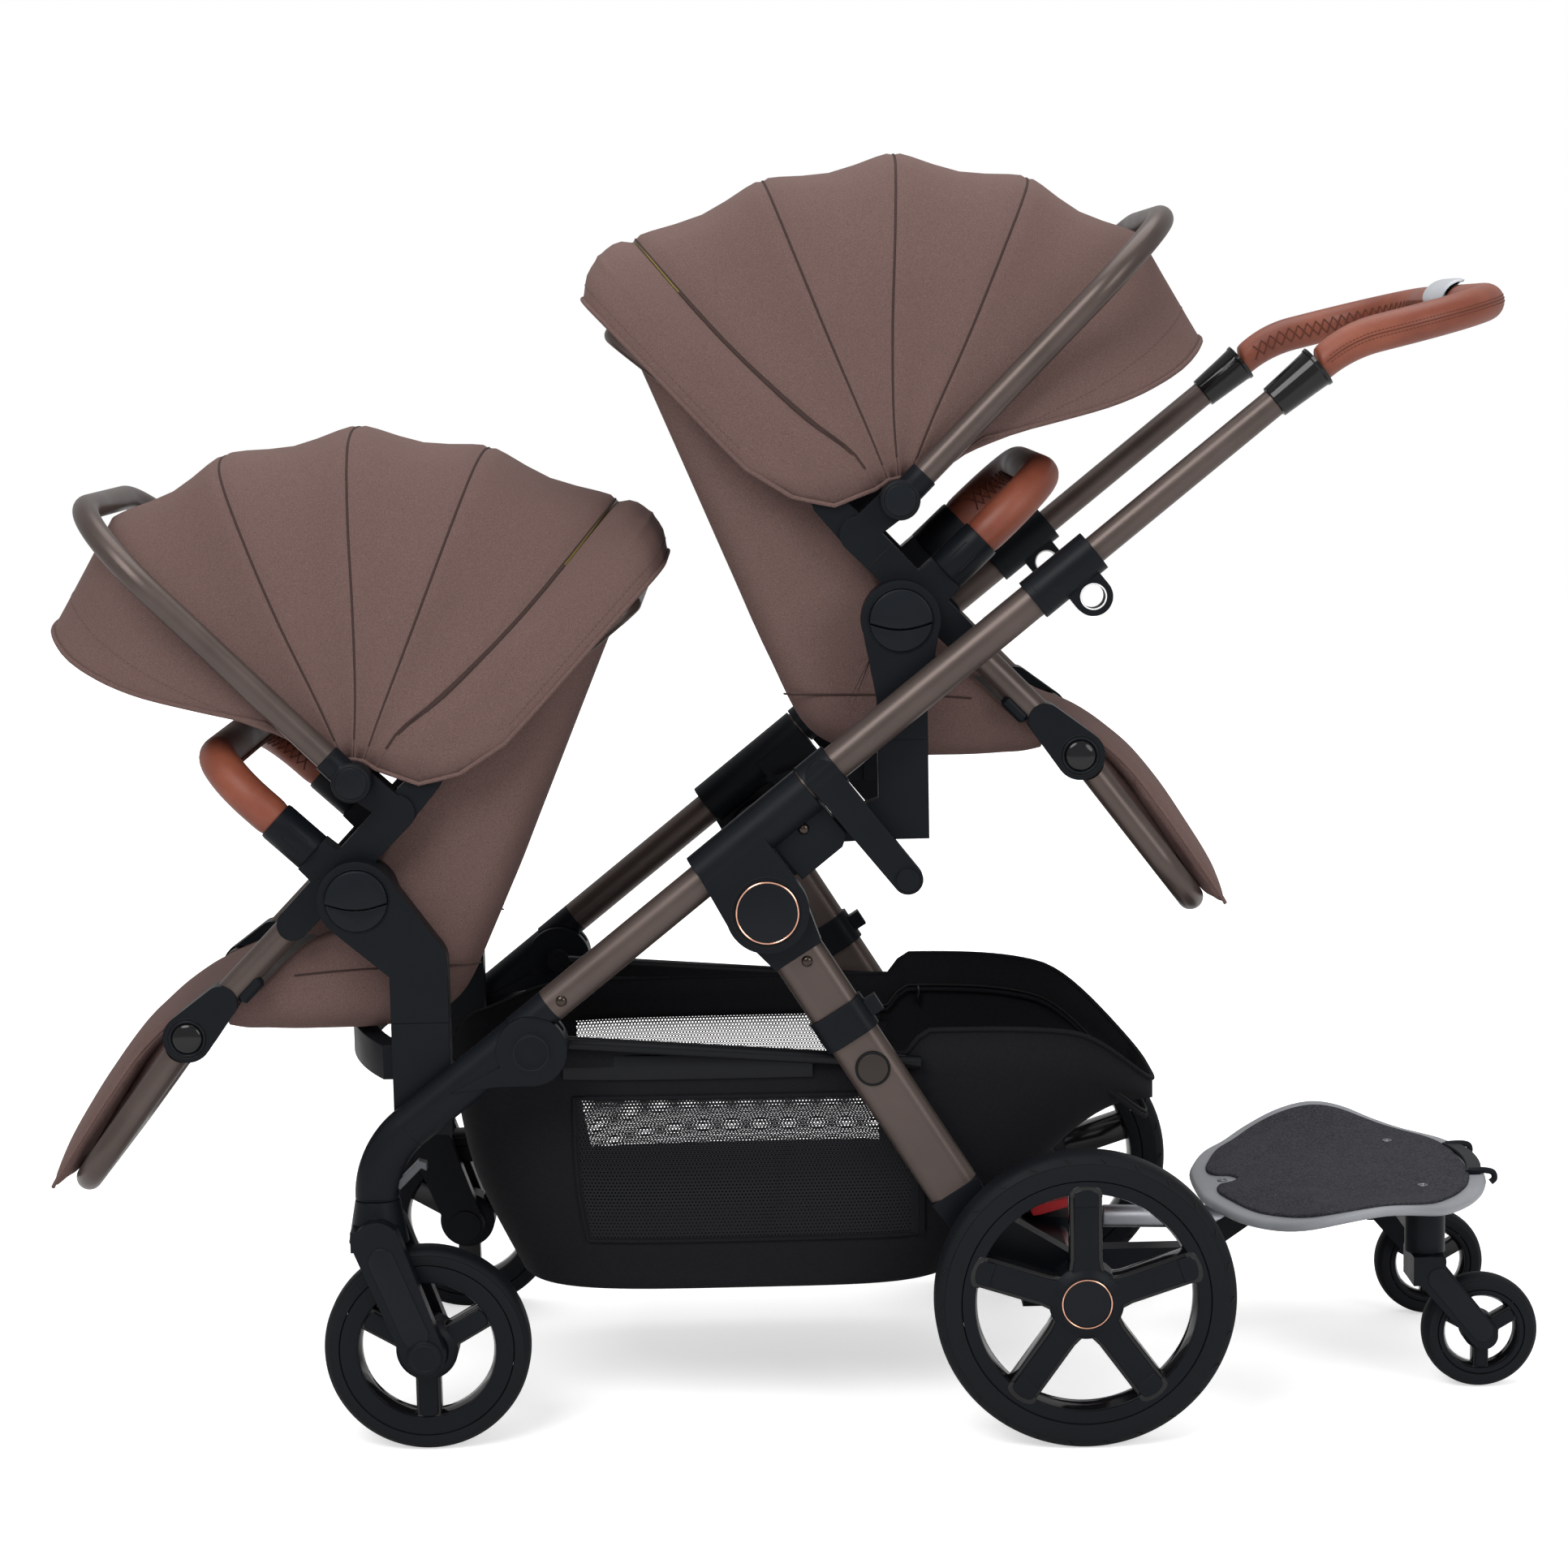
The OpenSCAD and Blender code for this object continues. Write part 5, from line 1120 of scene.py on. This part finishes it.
def make_leather():
    turn, start, knee = 120, 725, 735
    foot = [along(TUBE_FOOT, TUBE_LEAN, mix(start, knee, k / 3), 0, -HANDLE_Y) for k in range(3)]
    centre = along(TUBE_FOOT, TUBE_LEAN, knee, -turn)
    bend = arc_points(centre[0], centre[2], turn, TUBE_LEAN + 90, HANDLE_LEAN + 90, 10)
    foot += [(x, -HANDLE_Y, z) for x, z in bend[:-1]]
    path = foot + loop_path(HANDLE_KNEE, HANDLE_LEAN, 0, HANDLE_REACH, HANDLE_Y, 105) + to_side(foot[::-1], -1)
    leather_loop("handle_leather", path, 17.6, "handle", "handle_grip", along((0, 0), HANDLE_LEAN, 0, 1), True)
    for seat, place in (("upper", upper), ("lower", lower)):
        body = f"{seat}_bumper"
        bar = [place(p) for p in loop_path((0, 0), BUMPER_LEAN, 109, 84, BUMPER_Y, 62)]
        top = Vector(place(along((0, 0), BUMPER_LEAN, 0, 1))) - Vector(place((0, 0, 0)))
        leather_loop(f"{body}_leather", bar, 19.2, body, f"{body}_bar", top, False)
        sockets = Piece(f"{body}_collars", place)
        for side in (-1, 1):
            ends = [along((0, 0), BUMPER_LEAN, s, 0, side * BUMPER_Y) for s in (62.05, 62.6, 106, 109.5)]
            sockets.add(bar_surface(ends, [20.2, 20.5, 20.5, 19.8], 40), BLACK)
        sockets.make(body, "black_plastic", crease=50)


# ---------------------------------------------------------------- wheels
def spoke_outline(centre, angle, r0, r1, half0, half1):
    """Rounded spoke from the hub outwards, anticlockwise in the side view."""
    d, n, c = Vector(direction(angle)), Vector(direction(angle + 90)), Vector(centre)
    root, neck = d * r0, d * mix(r0, r1, 0.25)
    tip = 0.45 * half1
    line = [root - n * half0, neck - n * half1]
    line += [d * (r1 - tip + x) + n * y * half1 / tip for x, y in arc_points(0, 0, tip, -90, 90, 8)]
    line += [neck + n * half1, root + n * half0]
    return [tuple(c + p) for p in line]


def mirrored(profile, y):
    """A profile of (radius, y) and its mirror image, about the middle of a wheel at y."""
    return [(r, y + v) for r, v in profile] + [(r, y - v) for r, v in reversed(profile)]


def make_wheel(word, nodes, centre, y, side, size, wide, opening, seat, hub, spokes, first, spoke_half, ring, notches):
    """Wheel with a tyre, a rim, spokes that carry a raised panel, and a hub cap; side is the outer side."""
    w = wide / 2
    lip = size - seat
    tread = [(seat + 0.3, 3 - w), (seat + 1.2, 1 - w), (seat + lip * 0.5, -w), (seat + lip * 0.64, 0.4 - w),
             (seat + lip * 0.66, 1.8 - w), (seat + lip * 0.86, 4.5 - w), (seat + lip * 0.95, 8 - w), (size, 13 - w)]
    tyre = Piece(f"{word}_tyre").add(turned_surface(mirrored(tread, y), centre, 160), RUBBER)
    tyre.make(word, "tyre_rubber", nodes[1:], crease=30)
    rim = Piece(f"{word}_rim")
    band = [(seat, 1.6 - w), (opening + 2.2, 1.6 - w), (opening + 0.7, 2.2 - w), (opening, 4 - w)]
    rim.add(turned_surface(mirrored(band, y), centre, 128), BLACK)
    inside = [(opening + 0.2, 5 - w), (opening - 0.25, 5 - w), (opening - 2.4, -w * 0.35)]
    rim.add(turned_surface(mirrored(inside, y), centre, 128), GLOSS)

    def depth(inwards):
        """The y a given way inwards of the wheel's outer face."""
        return y + side * (w - inwards)

    # Each layer of a spoke: its start and end, half widths, depths of its face and back, edge, finish
    layers = [(hub * 0.5, opening + 4.5, 1.25, 1, 4.2, 3 + wide * 0.52, 1.6, GLOSS),
              (hub * 0.6, opening - 0.5, 0.98, 0.76, 2, 9, 1.4, BLACK)]
    if ring:
        layers += [(opening - 3, opening + 8.5, 1, 1, 1.2, 6, 0.5, GLOSS),
                   (opening - 12, opening + 4.5, 0.76, 0.76, 0.4, 6, 1.2, BLACK)]
    for k in range(spokes):
        for r0, r1, wide0, wide1, face, back, edge, finish in layers:
            angle = first + 360 * k / spokes
            outline = spoke_outline(centre, angle, r0, r1, spoke_half * wide0, spoke_half * wide1)
            rim.add(slab_surface(outline, depth(face), depth(back), edge), finish)
    boss = [(0.1, 2 * w), (hub * 0.8, 2 * w), (hub, 1.8 * w), (hub, 5), (hub * 0.9, 1.5), (hub * 0.72, -1.0),
            (hub * 0.7, -0.6), (0.1, -0.6)]
    rim.add(turned_surface([(r, depth(inwards)) for r, inwards in boss], centre, 72), BLACK)
    rim.add(disc_surface(centre, hub * 0.62, depth(2.6), depth(-1.3), 0.8), BLACK_PANEL)
    if ring:
        rim.add(ring_surface(centre, hub * 0.655, depth(-1.1), 0.75, 8), ROSE)
    rim.make(word, "black_plastic", nodes[:1], crease=35)
    if notches:
        make_tread(word, centre, y, seat + lip * 0.80, w - 3.6, notches)


def make_tread(word, centre, y, r, out, count):
    """Slanted near-black marks round both shoulders of a tyre, painted shade of its tread notches, at a radius and a
    distance from the tyre's middle.
    """
    spots, ways = [], []
    for k in range(count):
        for edge in (-1, 1):
            a = 2 * math.pi * (k + 0.5 * (edge > 0)) / count
            spots.append((centre[0] + r * math.cos(a), y + edge * out, centre[1] + r * math.sin(a)))
            ways.append((math.cos(a + 0.9), -0.35 * edge * math.cos(0.9), math.sin(a + 0.9)))
    # Each notch is a dark bar: painted shade in the notch.
    unit = tapered_unit("notch_unit", 3, 3.6, 0.9, 0.3, GAP_SHADE)
    settle(repeat_on_points(f"{word}_tread", spots, unit, GAP_SHADE, ways), word)


# Each kind of wheel: its nodes, axle, distance from the middle, and measures
WHEELS = {
    "rear_wheel": (("rear_rim", "rear_tyre"), REAR_AXLE, REAR_WHEEL_Y, dict(
        size=145, wide=42, opening=106.6, seat=119, hub=36,
        spokes=5, first=90, spoke_half=15.5, ring=True, notches=26)),
    "front_wheel": (("front_rim", "front_tyre"), FRONT_AXLE, FRONT_WHEEL_Y, dict(
        size=100, wide=38, opening=66.7, seat=84, hub=30,
        spokes=3, first=30, spoke_half=12, ring=False, notches=0)),
    "board_wheel": (("board_wheel",), BOARD_AXLE, BOARD_WHEEL_Y, dict(
        size=58, wide=30, opening=37.5, seat=43, hub=18,
        spokes=3, first=30, spoke_half=8, ring=False, notches=0)),
}


def make_wheels():
    for side, word in SIDES:
        for kind, (nodes, axle, y, measures) in WHEELS.items():
            make_wheel(f"{kind}_{word}", [f"{node}_{word}" for node in nodes], axle, side * y, side, **measures)


# ---------------------------------------------------------------- small hard pieces
def rivet(x, z, side, foot, rim):
    """Dome rivet on one side of the stroller, between two distances from its middle."""
    return dome_surface((x, z), 5.4, side * foot, side * rim, 3.4, 32)


def make_knuckle_covers():
    """Round cover with a metal ring on each knuckle, a near-black ring of painted shade in its panel gap, and rivets
    and discs on the tubes, each disc with a ring of painted shade round it.
    """
    covers = Piece("knuckle_covers")
    rear = Piece("rear_leg_rivets")
    for side in (-1, 1):
        covers.add(disc_surface(KNUCKLE, 30.6, side * 264.8, side * 268, 1.0), BLACK_PANEL)
        covers.add(ring_surface(KNUCKLE, 29.4, side * 267.8, 0.85, 8), ROSE)
        # Near-black ring: painted shade in the panel gap round the cover.
        covers.add(ring_surface(KNUCKLE, 34, side * 265.3, 0.5), GAP_SHADE)
        covers.add(rivet(-2, 601, side, 246.5, 247.4), RIVET)
        covers.add(rivet(-236, 442, side, 258.5, 259.6), RIVET)
        rear.add(rivet(-1, 473, side, 246, 247.2), RIVET)
        rear.add(disc_surface(LEG_DISC, 14.6, side * 247, side * 250.4, 1.0), DARK_BRONZE)
        # Near-black ring: painted shade in the gap round the disc.
        rear.add(ring_surface(LEG_DISC, 15.4, side * 249.2, 0.6), GAP_SHADE)
    covers.make("chassis", "black_plastic", crease=40)
    rear.make("rear_frame", "steel", crease=40)


# Along the main tube: way from its foot and radius of the flared cup
CUP_STATIONS = ((671.5, 14.0), (672.5, 16.2), (690, 17.3), (706, 18.3), (718, 19.2), (721, 19.6), (722, 20.6),
                (725.2, 20.9), (725.6, 18.0))


def make_handle_cups():
    """Flared gloss cups where the thin tubes meet the leather, white eyelet bushes and the tubes' end collars."""
    cups = Piece("handle_cups")
    bushes = Piece("eyelet_bushes")
    for side in (-1, 1):
        path = [along(TUBE_FOOT, TUBE_LEAN, s, 0, side * HANDLE_Y) for s, _ in CUP_STATIONS]
        cups.add(bar_surface(path, [r for _, r in CUP_STATIONS], 48), GLOSS)
        for edge in (-9.7, 9.7):
            bushes.add(ring_surface(EYELET, 12.0, side * HANDLE_Y + edge, 0.8, 8), WHITE)
        collar = [along(TUBE_FOOT, TUBE_LEAN, s, 0, side * HANDLE_Y) for s in (381, 388.5)]
        bushes.add(bar_surface(collar, 21.0, 40), BLACK)
    cups.make("handle", "gloss_black", crease=35)
    bushes.make("chassis", "black_plastic", crease=40)


def make_handle_button():
    """Smooth saddle on top of the handle's cross bar."""
    rows = []
    for k in range(33):
        t = mix(-1, 1, k / 32)
        full = max(0.0, 1 - abs(t) ** 6) ** 0.5
        width = 50 * (0.55 + 0.45 * full)
        shares = [mix(-1, 1, i / 24) for i in range(25)]
        ring = [(21.0 + 3.6 * full - 1.6 * abs(share) ** 4, 25 + width * share) for share in shares]
        ring += [(20.6, 25 + width * share * 0.96) for share in reversed(shares)]
        turned = [(r, direction(degrees)) for r, degrees in ring]
        rows.append([along(HANDLE_KNEE, HANDLE_LEAN, HANDLE_REACH - r * s, r * c, t * 48) for r, (c, s) in turned])
    saddle = Piece("handle_button_cap").add(tube_surface(rows), GREY)
    saddle.make("handle_button", "grey_plastic", ("handle_button",), crease=50)


def make_seat_buttons(seat, place):
    """Half-round release plates at the hubs with the fixed plates below them, and domed buttons at the leg joints."""
    hub = Piece(f"{seat}_hub_trim", place)
    smile = [(mix(-29.6, 29.6, k / 16), -1.8 - 6.2 * math.sin(math.pi * k / 16)) for k in range(1, 16)]
    lip = [(x, z - 1.0) for x, z in reversed(smile)]
    arch, bowl = arc_points(0, 0, 30.0, -3, 183, 31), arc_points(0, 0, 29.8, 186, 354, 28)
    for side in (-1, 1):
        word = "near" if place((0, side, 0))[1] < 0 else "far"
        button, node = f"{seat}_hub_button_{word}", f"{seat}_leg_button_{word}"
        plate = Piece(f"{seat}_hub_plate_{word}", place)
        plate.add(slab_surface(arch + smile, side * 215, side * 226, 1.6), BLACK_PANEL)
        plate.make(button, "black_plastic", (button,), crease=40)
        hub.add(slab_surface(bowl + lip, side * 214, side * 223.4, 1.2), BLACK_PANEL)
        hub.add(ring_surface((0, 0), 31.0, side * 221.0, 0.9, 8), BLACK)
        face = max(abs(corner[1]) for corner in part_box(node)) / MM
        dome = Piece(f"{seat}_leg_dome_{word}", place)
        dome.add(dome_surface(SEAT_JOINT, 14.6, side * (face - 4), side * (face - 1.6), 4.0), GLOSS)
        dome.make(node, "gloss_black", (node,), crease=40)
    hub.make(f"{seat}_adapters", "black_plastic", crease=40)


def make_hood_knuckles(seat, place):
    """Black cap over each hood pivot and the sleeve that takes the bow's foot."""
    caps = Piece(f"{seat}_hood_caps", place)
    for side in (-1, 1):
        caps.add(disc_surface(HOOD_PIVOT, 19.2, side * 197, side * 222.6, 2.2), BLACK)
        caps.add(disc_surface(HOOD_PIVOT, 15.2, side * 221, side * 223.8, 0.9), BLACK_PANEL)
        # Near-black ring: painted shade in the gap round the inner disc.
        caps.add(ring_surface(HOOD_PIVOT, 16.2, side * 222.5, 0.6), GAP_SHADE)
        sleeve = [along(HOOD_PIVOT, 45, s, 0, side * 208.3) for s in (12, 14, 33, 34)]
        caps.add(bar_surface(sleeve, [13.6, 14.3, 14.3, 13.3], 36), BLACK)
    caps.make(f"{seat}_canopy", "black_plastic", crease=40)


def make_seat_details(seat, place):
    """Rings round the leg joints, tube clips, and near-black lines of painted shade: in the gap round each ring, in
    the collar grooves and round the collar tabs.
    """
    small = Piece(f"{seat}_seat_trim", place)
    tab_shade_lines = Piece(f"{seat}_bumper_tabs", place)
    for side in (-1, 1):
        small.add(ring_surface(SEAT_JOINT, 16.9, side * 195.2, 1.5, 12), BLACK_PANEL)
        # Near-black ring: painted shade in the gap round the joint's ring.
        small.add(ring_surface(SEAT_JOINT, 19.6, side * 195.1, 0.6), GAP_SHADE)
        clip = [along(SEAT_TUBE_TOP, SEAT_AXIS, s, -13, side * 186) for s in (212, 215, 239, 242)]
        small.add(bar_surface(clip, [3.5, 6.5, 6.5, 3.5], 16), BLACK)
        # Near-black lines round the tube: painted shade in the collar grooves.
        for s in (30, 100):
            line = [along(SEAT_TUBE_TOP, SEAT_AXIS, s, n, side * 195.2) for n in (18, 0, -18)]
            small.add(bar_surface(line, 0.5, 6), GAP_SHADE)
        # Outline of a collar tab in near-black: painted shade in the gap round it.
        line = []
        for s, n in ((72, -7), (72, 9), (96, 9), (96, -3), (92, -7), (72, -7)):
            out = math.sqrt(20.8 ** 2 - n * n)
            line.append(along((0, 0), BUMPER_LEAN, s, n, side * (BUMPER_Y + out)))
        tab_shade_lines.add(bar_surface(line, 0.5, 6), GAP_SHADE)
    small.make(f"{seat}_seat", "black_plastic", crease=40)
    tab_shade_lines.make(f"{seat}_bumper", "black_plastic", crease=40)


def make_fork_covers():
    """Inset cover on each outer fork arm and the round cap over the axle, with a near-black ring of painted shade
    round the cap and at the front arm's pivot.
    """
    for side, word in SIDES:
        cover = Piece(f"front_fork_cover_{word}")
        arm = rounded_bar_outline((-414, 196), (-384, 122), 13)
        cover.add(slab_surface(arm, side * 277, side * 280.2, 1.0), BLACK_PANEL)
        cover.add(disc_surface(FRONT_AXLE, 16.4, side * 278, side * 282.2, 1.6), BLACK)
        cover.add(ring_surface(FRONT_AXLE, 12.6, side * 282.1, 0.5), GAP_SHADE)
        cover.make(f"front_fork_{word}", "black_plastic", crease=40)
        pivot = Piece(f"front_arm_ring_{word}").add(ring_surface(FRONT_PIVOT, 16.6, side * 265.4, 0.6), GAP_SHADE)
        pivot.make("front_frame", "black_plastic")
        board = Piece(f"board_fork_cover_{word}")
        arm = rounded_bar_outline((626, 118), (670, 63), 11.2)
        board.add(slab_surface(arm, side * 150, side * 153, 0.8), BLACK_PANEL)
        board.make(f"board_fork_{word}", "black_plastic", crease=40)


# ---------------------------------------------------------------- ride-on board
# Along the deck: share of its length, share of its half width, height of its raised wings
DECK_SHARES = [(0, 0.17, 0), (0.03, 0.36, 0), (0.09, 0.58, 0), (0.17, 0.73, 0.05), (0.27, 0.88, 0.4),
               (0.4, 0.975, 0.8), (0.54, 1, 1), (0.66, 0.95, 0.85), (0.76, 0.83, 0.5), (0.84, 0.7, 0.2),
               (0.91, 0.57, 0), (0.965, 0.42, 0), (1, 0.2, 0)]
DECK_LINE = smooth_path(DECK_SHARES, 6)
DECK_FILL = (0.83, 0.75, 0.67, 0.59, 0.5, 0.4, 0.3, 0.2, 0.1, 0.04)
DECK_X = (402, 694)
DECK_HALF = 228


def closed_path(points, steps):
    """A smooth closed line through the given points."""
    n = len(points)
    return smooth_path([points[k % n] for k in range(-1, n + 2)], steps)[steps:steps * (n + 1)]


def deck_height(x, y):
    """Height of the deck's top, with its wings raised at both sides."""
    share = (x - DECK_X[0]) / (DECK_X[1] - DECK_X[0])
    rise = 0
    for (a, _, low), (b, _, high) in zip(DECK_LINE, DECK_LINE[1:]):
        if a <= share <= b:
            rise = mix(low, high, (share - a) / (b - a))
            break
    wing = 24 * (max(0, abs(y) - 91.2) / 136.8) ** 1.6
    return 201 - (DECK_X[1] - x) * math.tan(math.radians(3.7)) - 2 * (y / DECK_HALF) ** 2 + rise * wing


def deck_rings(outline, edge, shares):
    """Rings over the deck: edge rings moved inwards and up or down, then rings drawn towards its middle."""
    rings = [(outline_inset(outline, inset), lift) for inset, lift in edge]
    rings += [([(mix(548, x, share), y * share) for x, y in rings[-1][0]], edge[-1][1]) for share in shares]
    return [[(x, y, deck_height(x, y) + lift) for x, y in ring] for ring, lift in rings]


def make_board():
    """Smooth deck with a rounded edge, the gritty pad on it with a notch round the front screw, and the tow bar."""
    near = [(mix(*DECK_X, share), -half * DECK_HALF) for share, half, _ in DECK_SHARES]
    outline = closed_path(near + [(x, -y) for x, y in reversed(near)], 4)
    top = deck_rings(outline, [(0.4, -6.5), (0, -4.5), (0.5, -2.2), (2.0, -0.7), (4.5, 0)], (0.96, 0.9) + DECK_FILL)
    base = deck_rings(outline, [(0.4, -6.5), (1.4, -8.6), (4, -9.8), (6, -10)], (0.9, 0.7, 0.45, 0.2, 0.05))
    deck = Piece("board_plate").add(tube_surface(base[::-1] + top[1:]), DECK)
    deck.make("board", "deck_grey", ("board_deck",), crease=50)
    inner = [p for p in outline_inset(outline, 17) if p[0] > 428 or abs(p[1]) > 40]
    first = next(i for i, p in enumerate(inner) if p[1] < 0)
    notch = [(420.5, 33), (427, 20), (440, 14.5), (447, 0), (440, -14.5), (427, -20), (420.5, -33)]
    pad_line = closed_path(inner[first:] + inner[:first] + notch, 2)
    rows = deck_rings(pad_line, [(0, 0.2), (0, 2.0), (0.6, 2.9), (1.8, 3.3)], (0.97, 0.91) + DECK_FILL)
    pad = Piece("board_grit").add(tube_surface(rows), GRIT)
    pad.make("board", "grit_pad", ("board_grip_pad",), crease=50)
    tow = [(305.6, 0, 149.5), (307, 0, 149.4), (380, 0, 147), (452, 0, 146)]
    bar = Piece("tow_bar").add(bar_surface(tow, [10.8, 11.6, 11.6, 11.6], 36), SILVER)
    bar.make("board", "steel", crease=40)


def make_board_details():
    """Screws through the grip pad and the strap plate with two hooks at the rear edge."""
    screws = Piece("board_screws")
    for x, y in ((431, 0), (477, -87), (477, 87), (621, -94), (621, 94)):
        z = deck_height(x, y) + (0.4 if x < 440 else 3.3)
        rows = [[(x + r * c, y + r * s, z + h) for c, s in circle(28)]
                for r, h in ((5.2, -2), (5.2, 0.4), (4.6, 0.9), (3.0, 0.9), (2.6, 0.2))]
        screws.add(stack_surface(rows), SCREW)
    screws.make("board", "steel", crease=45)
    hooks = Piece("board_hooks")
    strap = [(x, y, deck_height(x, y) + 2.6) for x, y in ((680, -60), (686, -30), (688, 0), (686, 30), (680, 60))]
    hooks.add(ribbon_surface(smooth_path(strap, 6), 7.5, 2.4, (0, 0, 1)), BLACK)
    z = deck_height(686, 56)
    claw = [(676, 56, z + 3.2), (690, 57, z + 3.6), (700, 58, z + 1.5), (702, 58, z - 5), (698, 58, z - 9)]
    for side in (-1, 1):
        hooks.add(bar_surface(smooth_path(to_side(claw, side), 6), 3.2, 14), BLACK)
    hooks.make("board", "black_plastic", crease=45)


# ---------------------------------------------------------------- stage, light and camera
# The photo's camera: pitch down, yaw and roll in degrees, lens in millimetres, place in metres
CAMERA_TURN = (7.72, -0.54, -1.15)
CAMERA_LENS = 76.02
CAMERA_PLACE = (-0.049, -3.358, 1.066)
LIGHT_AIM = Vector((0, 0, 0.6))
# Each light: its place, size and power
LIGHTS = {
    "key_light": ((-1.6, -3.0, 3.4), 2.4, 105),
    "fill_light": ((2.6, -3.2, 2.0), 2.0, 45),
    "top_light": ((0.2, 0.4, 3.6), 3.0, 60),
}


def camera_ray(tree):
    return tree.nodes.new("ShaderNodeLightPath").outputs["Is Camera Ray"]


def make_floor():
    """White floor that takes soft shadows and fades into the backdrop."""
    mesh = bpy.data.meshes.new("floor")
    mesh.from_pydata([(-9, -7, 0), (9, -7, 0), (9, 9, 0), (-9, 9, 0)], [], [(0, 1, 2, 3)])
    floor = add_to_scene("floor", mesh)
    material, tree, shader = finish_tree("studio_floor")
    distance = new_node(tree, "VectorMath", {0: object_coordinates(tree)}, operation="LENGTH").outputs["Value"]
    fade = map_range(tree, distance, (0.7, 2.2), (0.56, 0.95))
    set_inputs(tree, shader, {
        "Base Color": (0.9, 0.9, 0.9, 1),
        "Roughness": 0.9,
        "Specular IOR Level": 0.1,
        "Emission Color": (1, 1, 1, 1),
        "Emission Strength": math_node(tree, "MULTIPLY", fade, camera_ray(tree)),
    })
    mesh.materials.append(material)


def make_world():
    world = bpy.data.worlds.new("studio")
    world.use_nodes = True
    bpy.context.scene.world = world
    tree = world.node_tree
    background = next(n for n in tree.nodes if n.type == "BACKGROUND")
    strength = map_range(tree, camera_ray(tree), (0, 1), (0.55, 1.0))
    set_inputs(tree, background, {"Color": (1, 1, 1, 1), "Strength": strength})


def make_lights():
    for name, (at, size, power) in LIGHTS.items():
        data = bpy.data.lights.new(name, "AREA")
        data.shape = "DISK"
        data.size = size
        data.energy = power
        light = add_to_scene(name, data)
        light.location = at
        light.rotation_euler = (LIGHT_AIM - Vector(at)).to_track_quat("-Z", "Y").to_euler()


def make_camera():
    pitch, yaw, roll = (math.radians(v) for v in CAMERA_TURN)
    ahead = Vector((-math.sin(yaw) * math.cos(pitch), math.cos(yaw) * math.cos(pitch), -math.sin(pitch)))
    right = Vector((math.cos(yaw), math.sin(yaw), 0))
    up = right.cross(ahead)
    right, up = right * math.cos(roll) + up * math.sin(roll), up * math.cos(roll) - right * math.sin(roll)
    data = bpy.data.cameras.new("photo_camera")
    data.sensor_width = 36
    data.lens = CAMERA_LENS
    camera = add_to_scene("photo_camera", data)
    turn = Matrix((right, up, -ahead)).transposed().to_4x4()
    camera.matrix_world = Matrix.Translation(CAMERA_PLACE) @ turn
    bpy.context.scene.camera = camera


finish_cad_nodes()
for seat, place in (("upper", upper), ("lower", lower)):
    make_hood(seat, place)
    make_shell(seat, place)
    make_leg_rest(seat, place)
    make_seat_details(seat, place)
    make_seat_buttons(seat, place)
    make_hood_knuckles(seat, place)
make_basket()
make_leather()
make_wheels()
make_knuckle_covers()
make_handle_cups()
make_handle_button()
make_fork_covers()
make_board()
make_board_details()
make_floor()
make_world()
make_lights()
make_camera()
bpy.context.scene.view_settings.view_transform = "Standard"
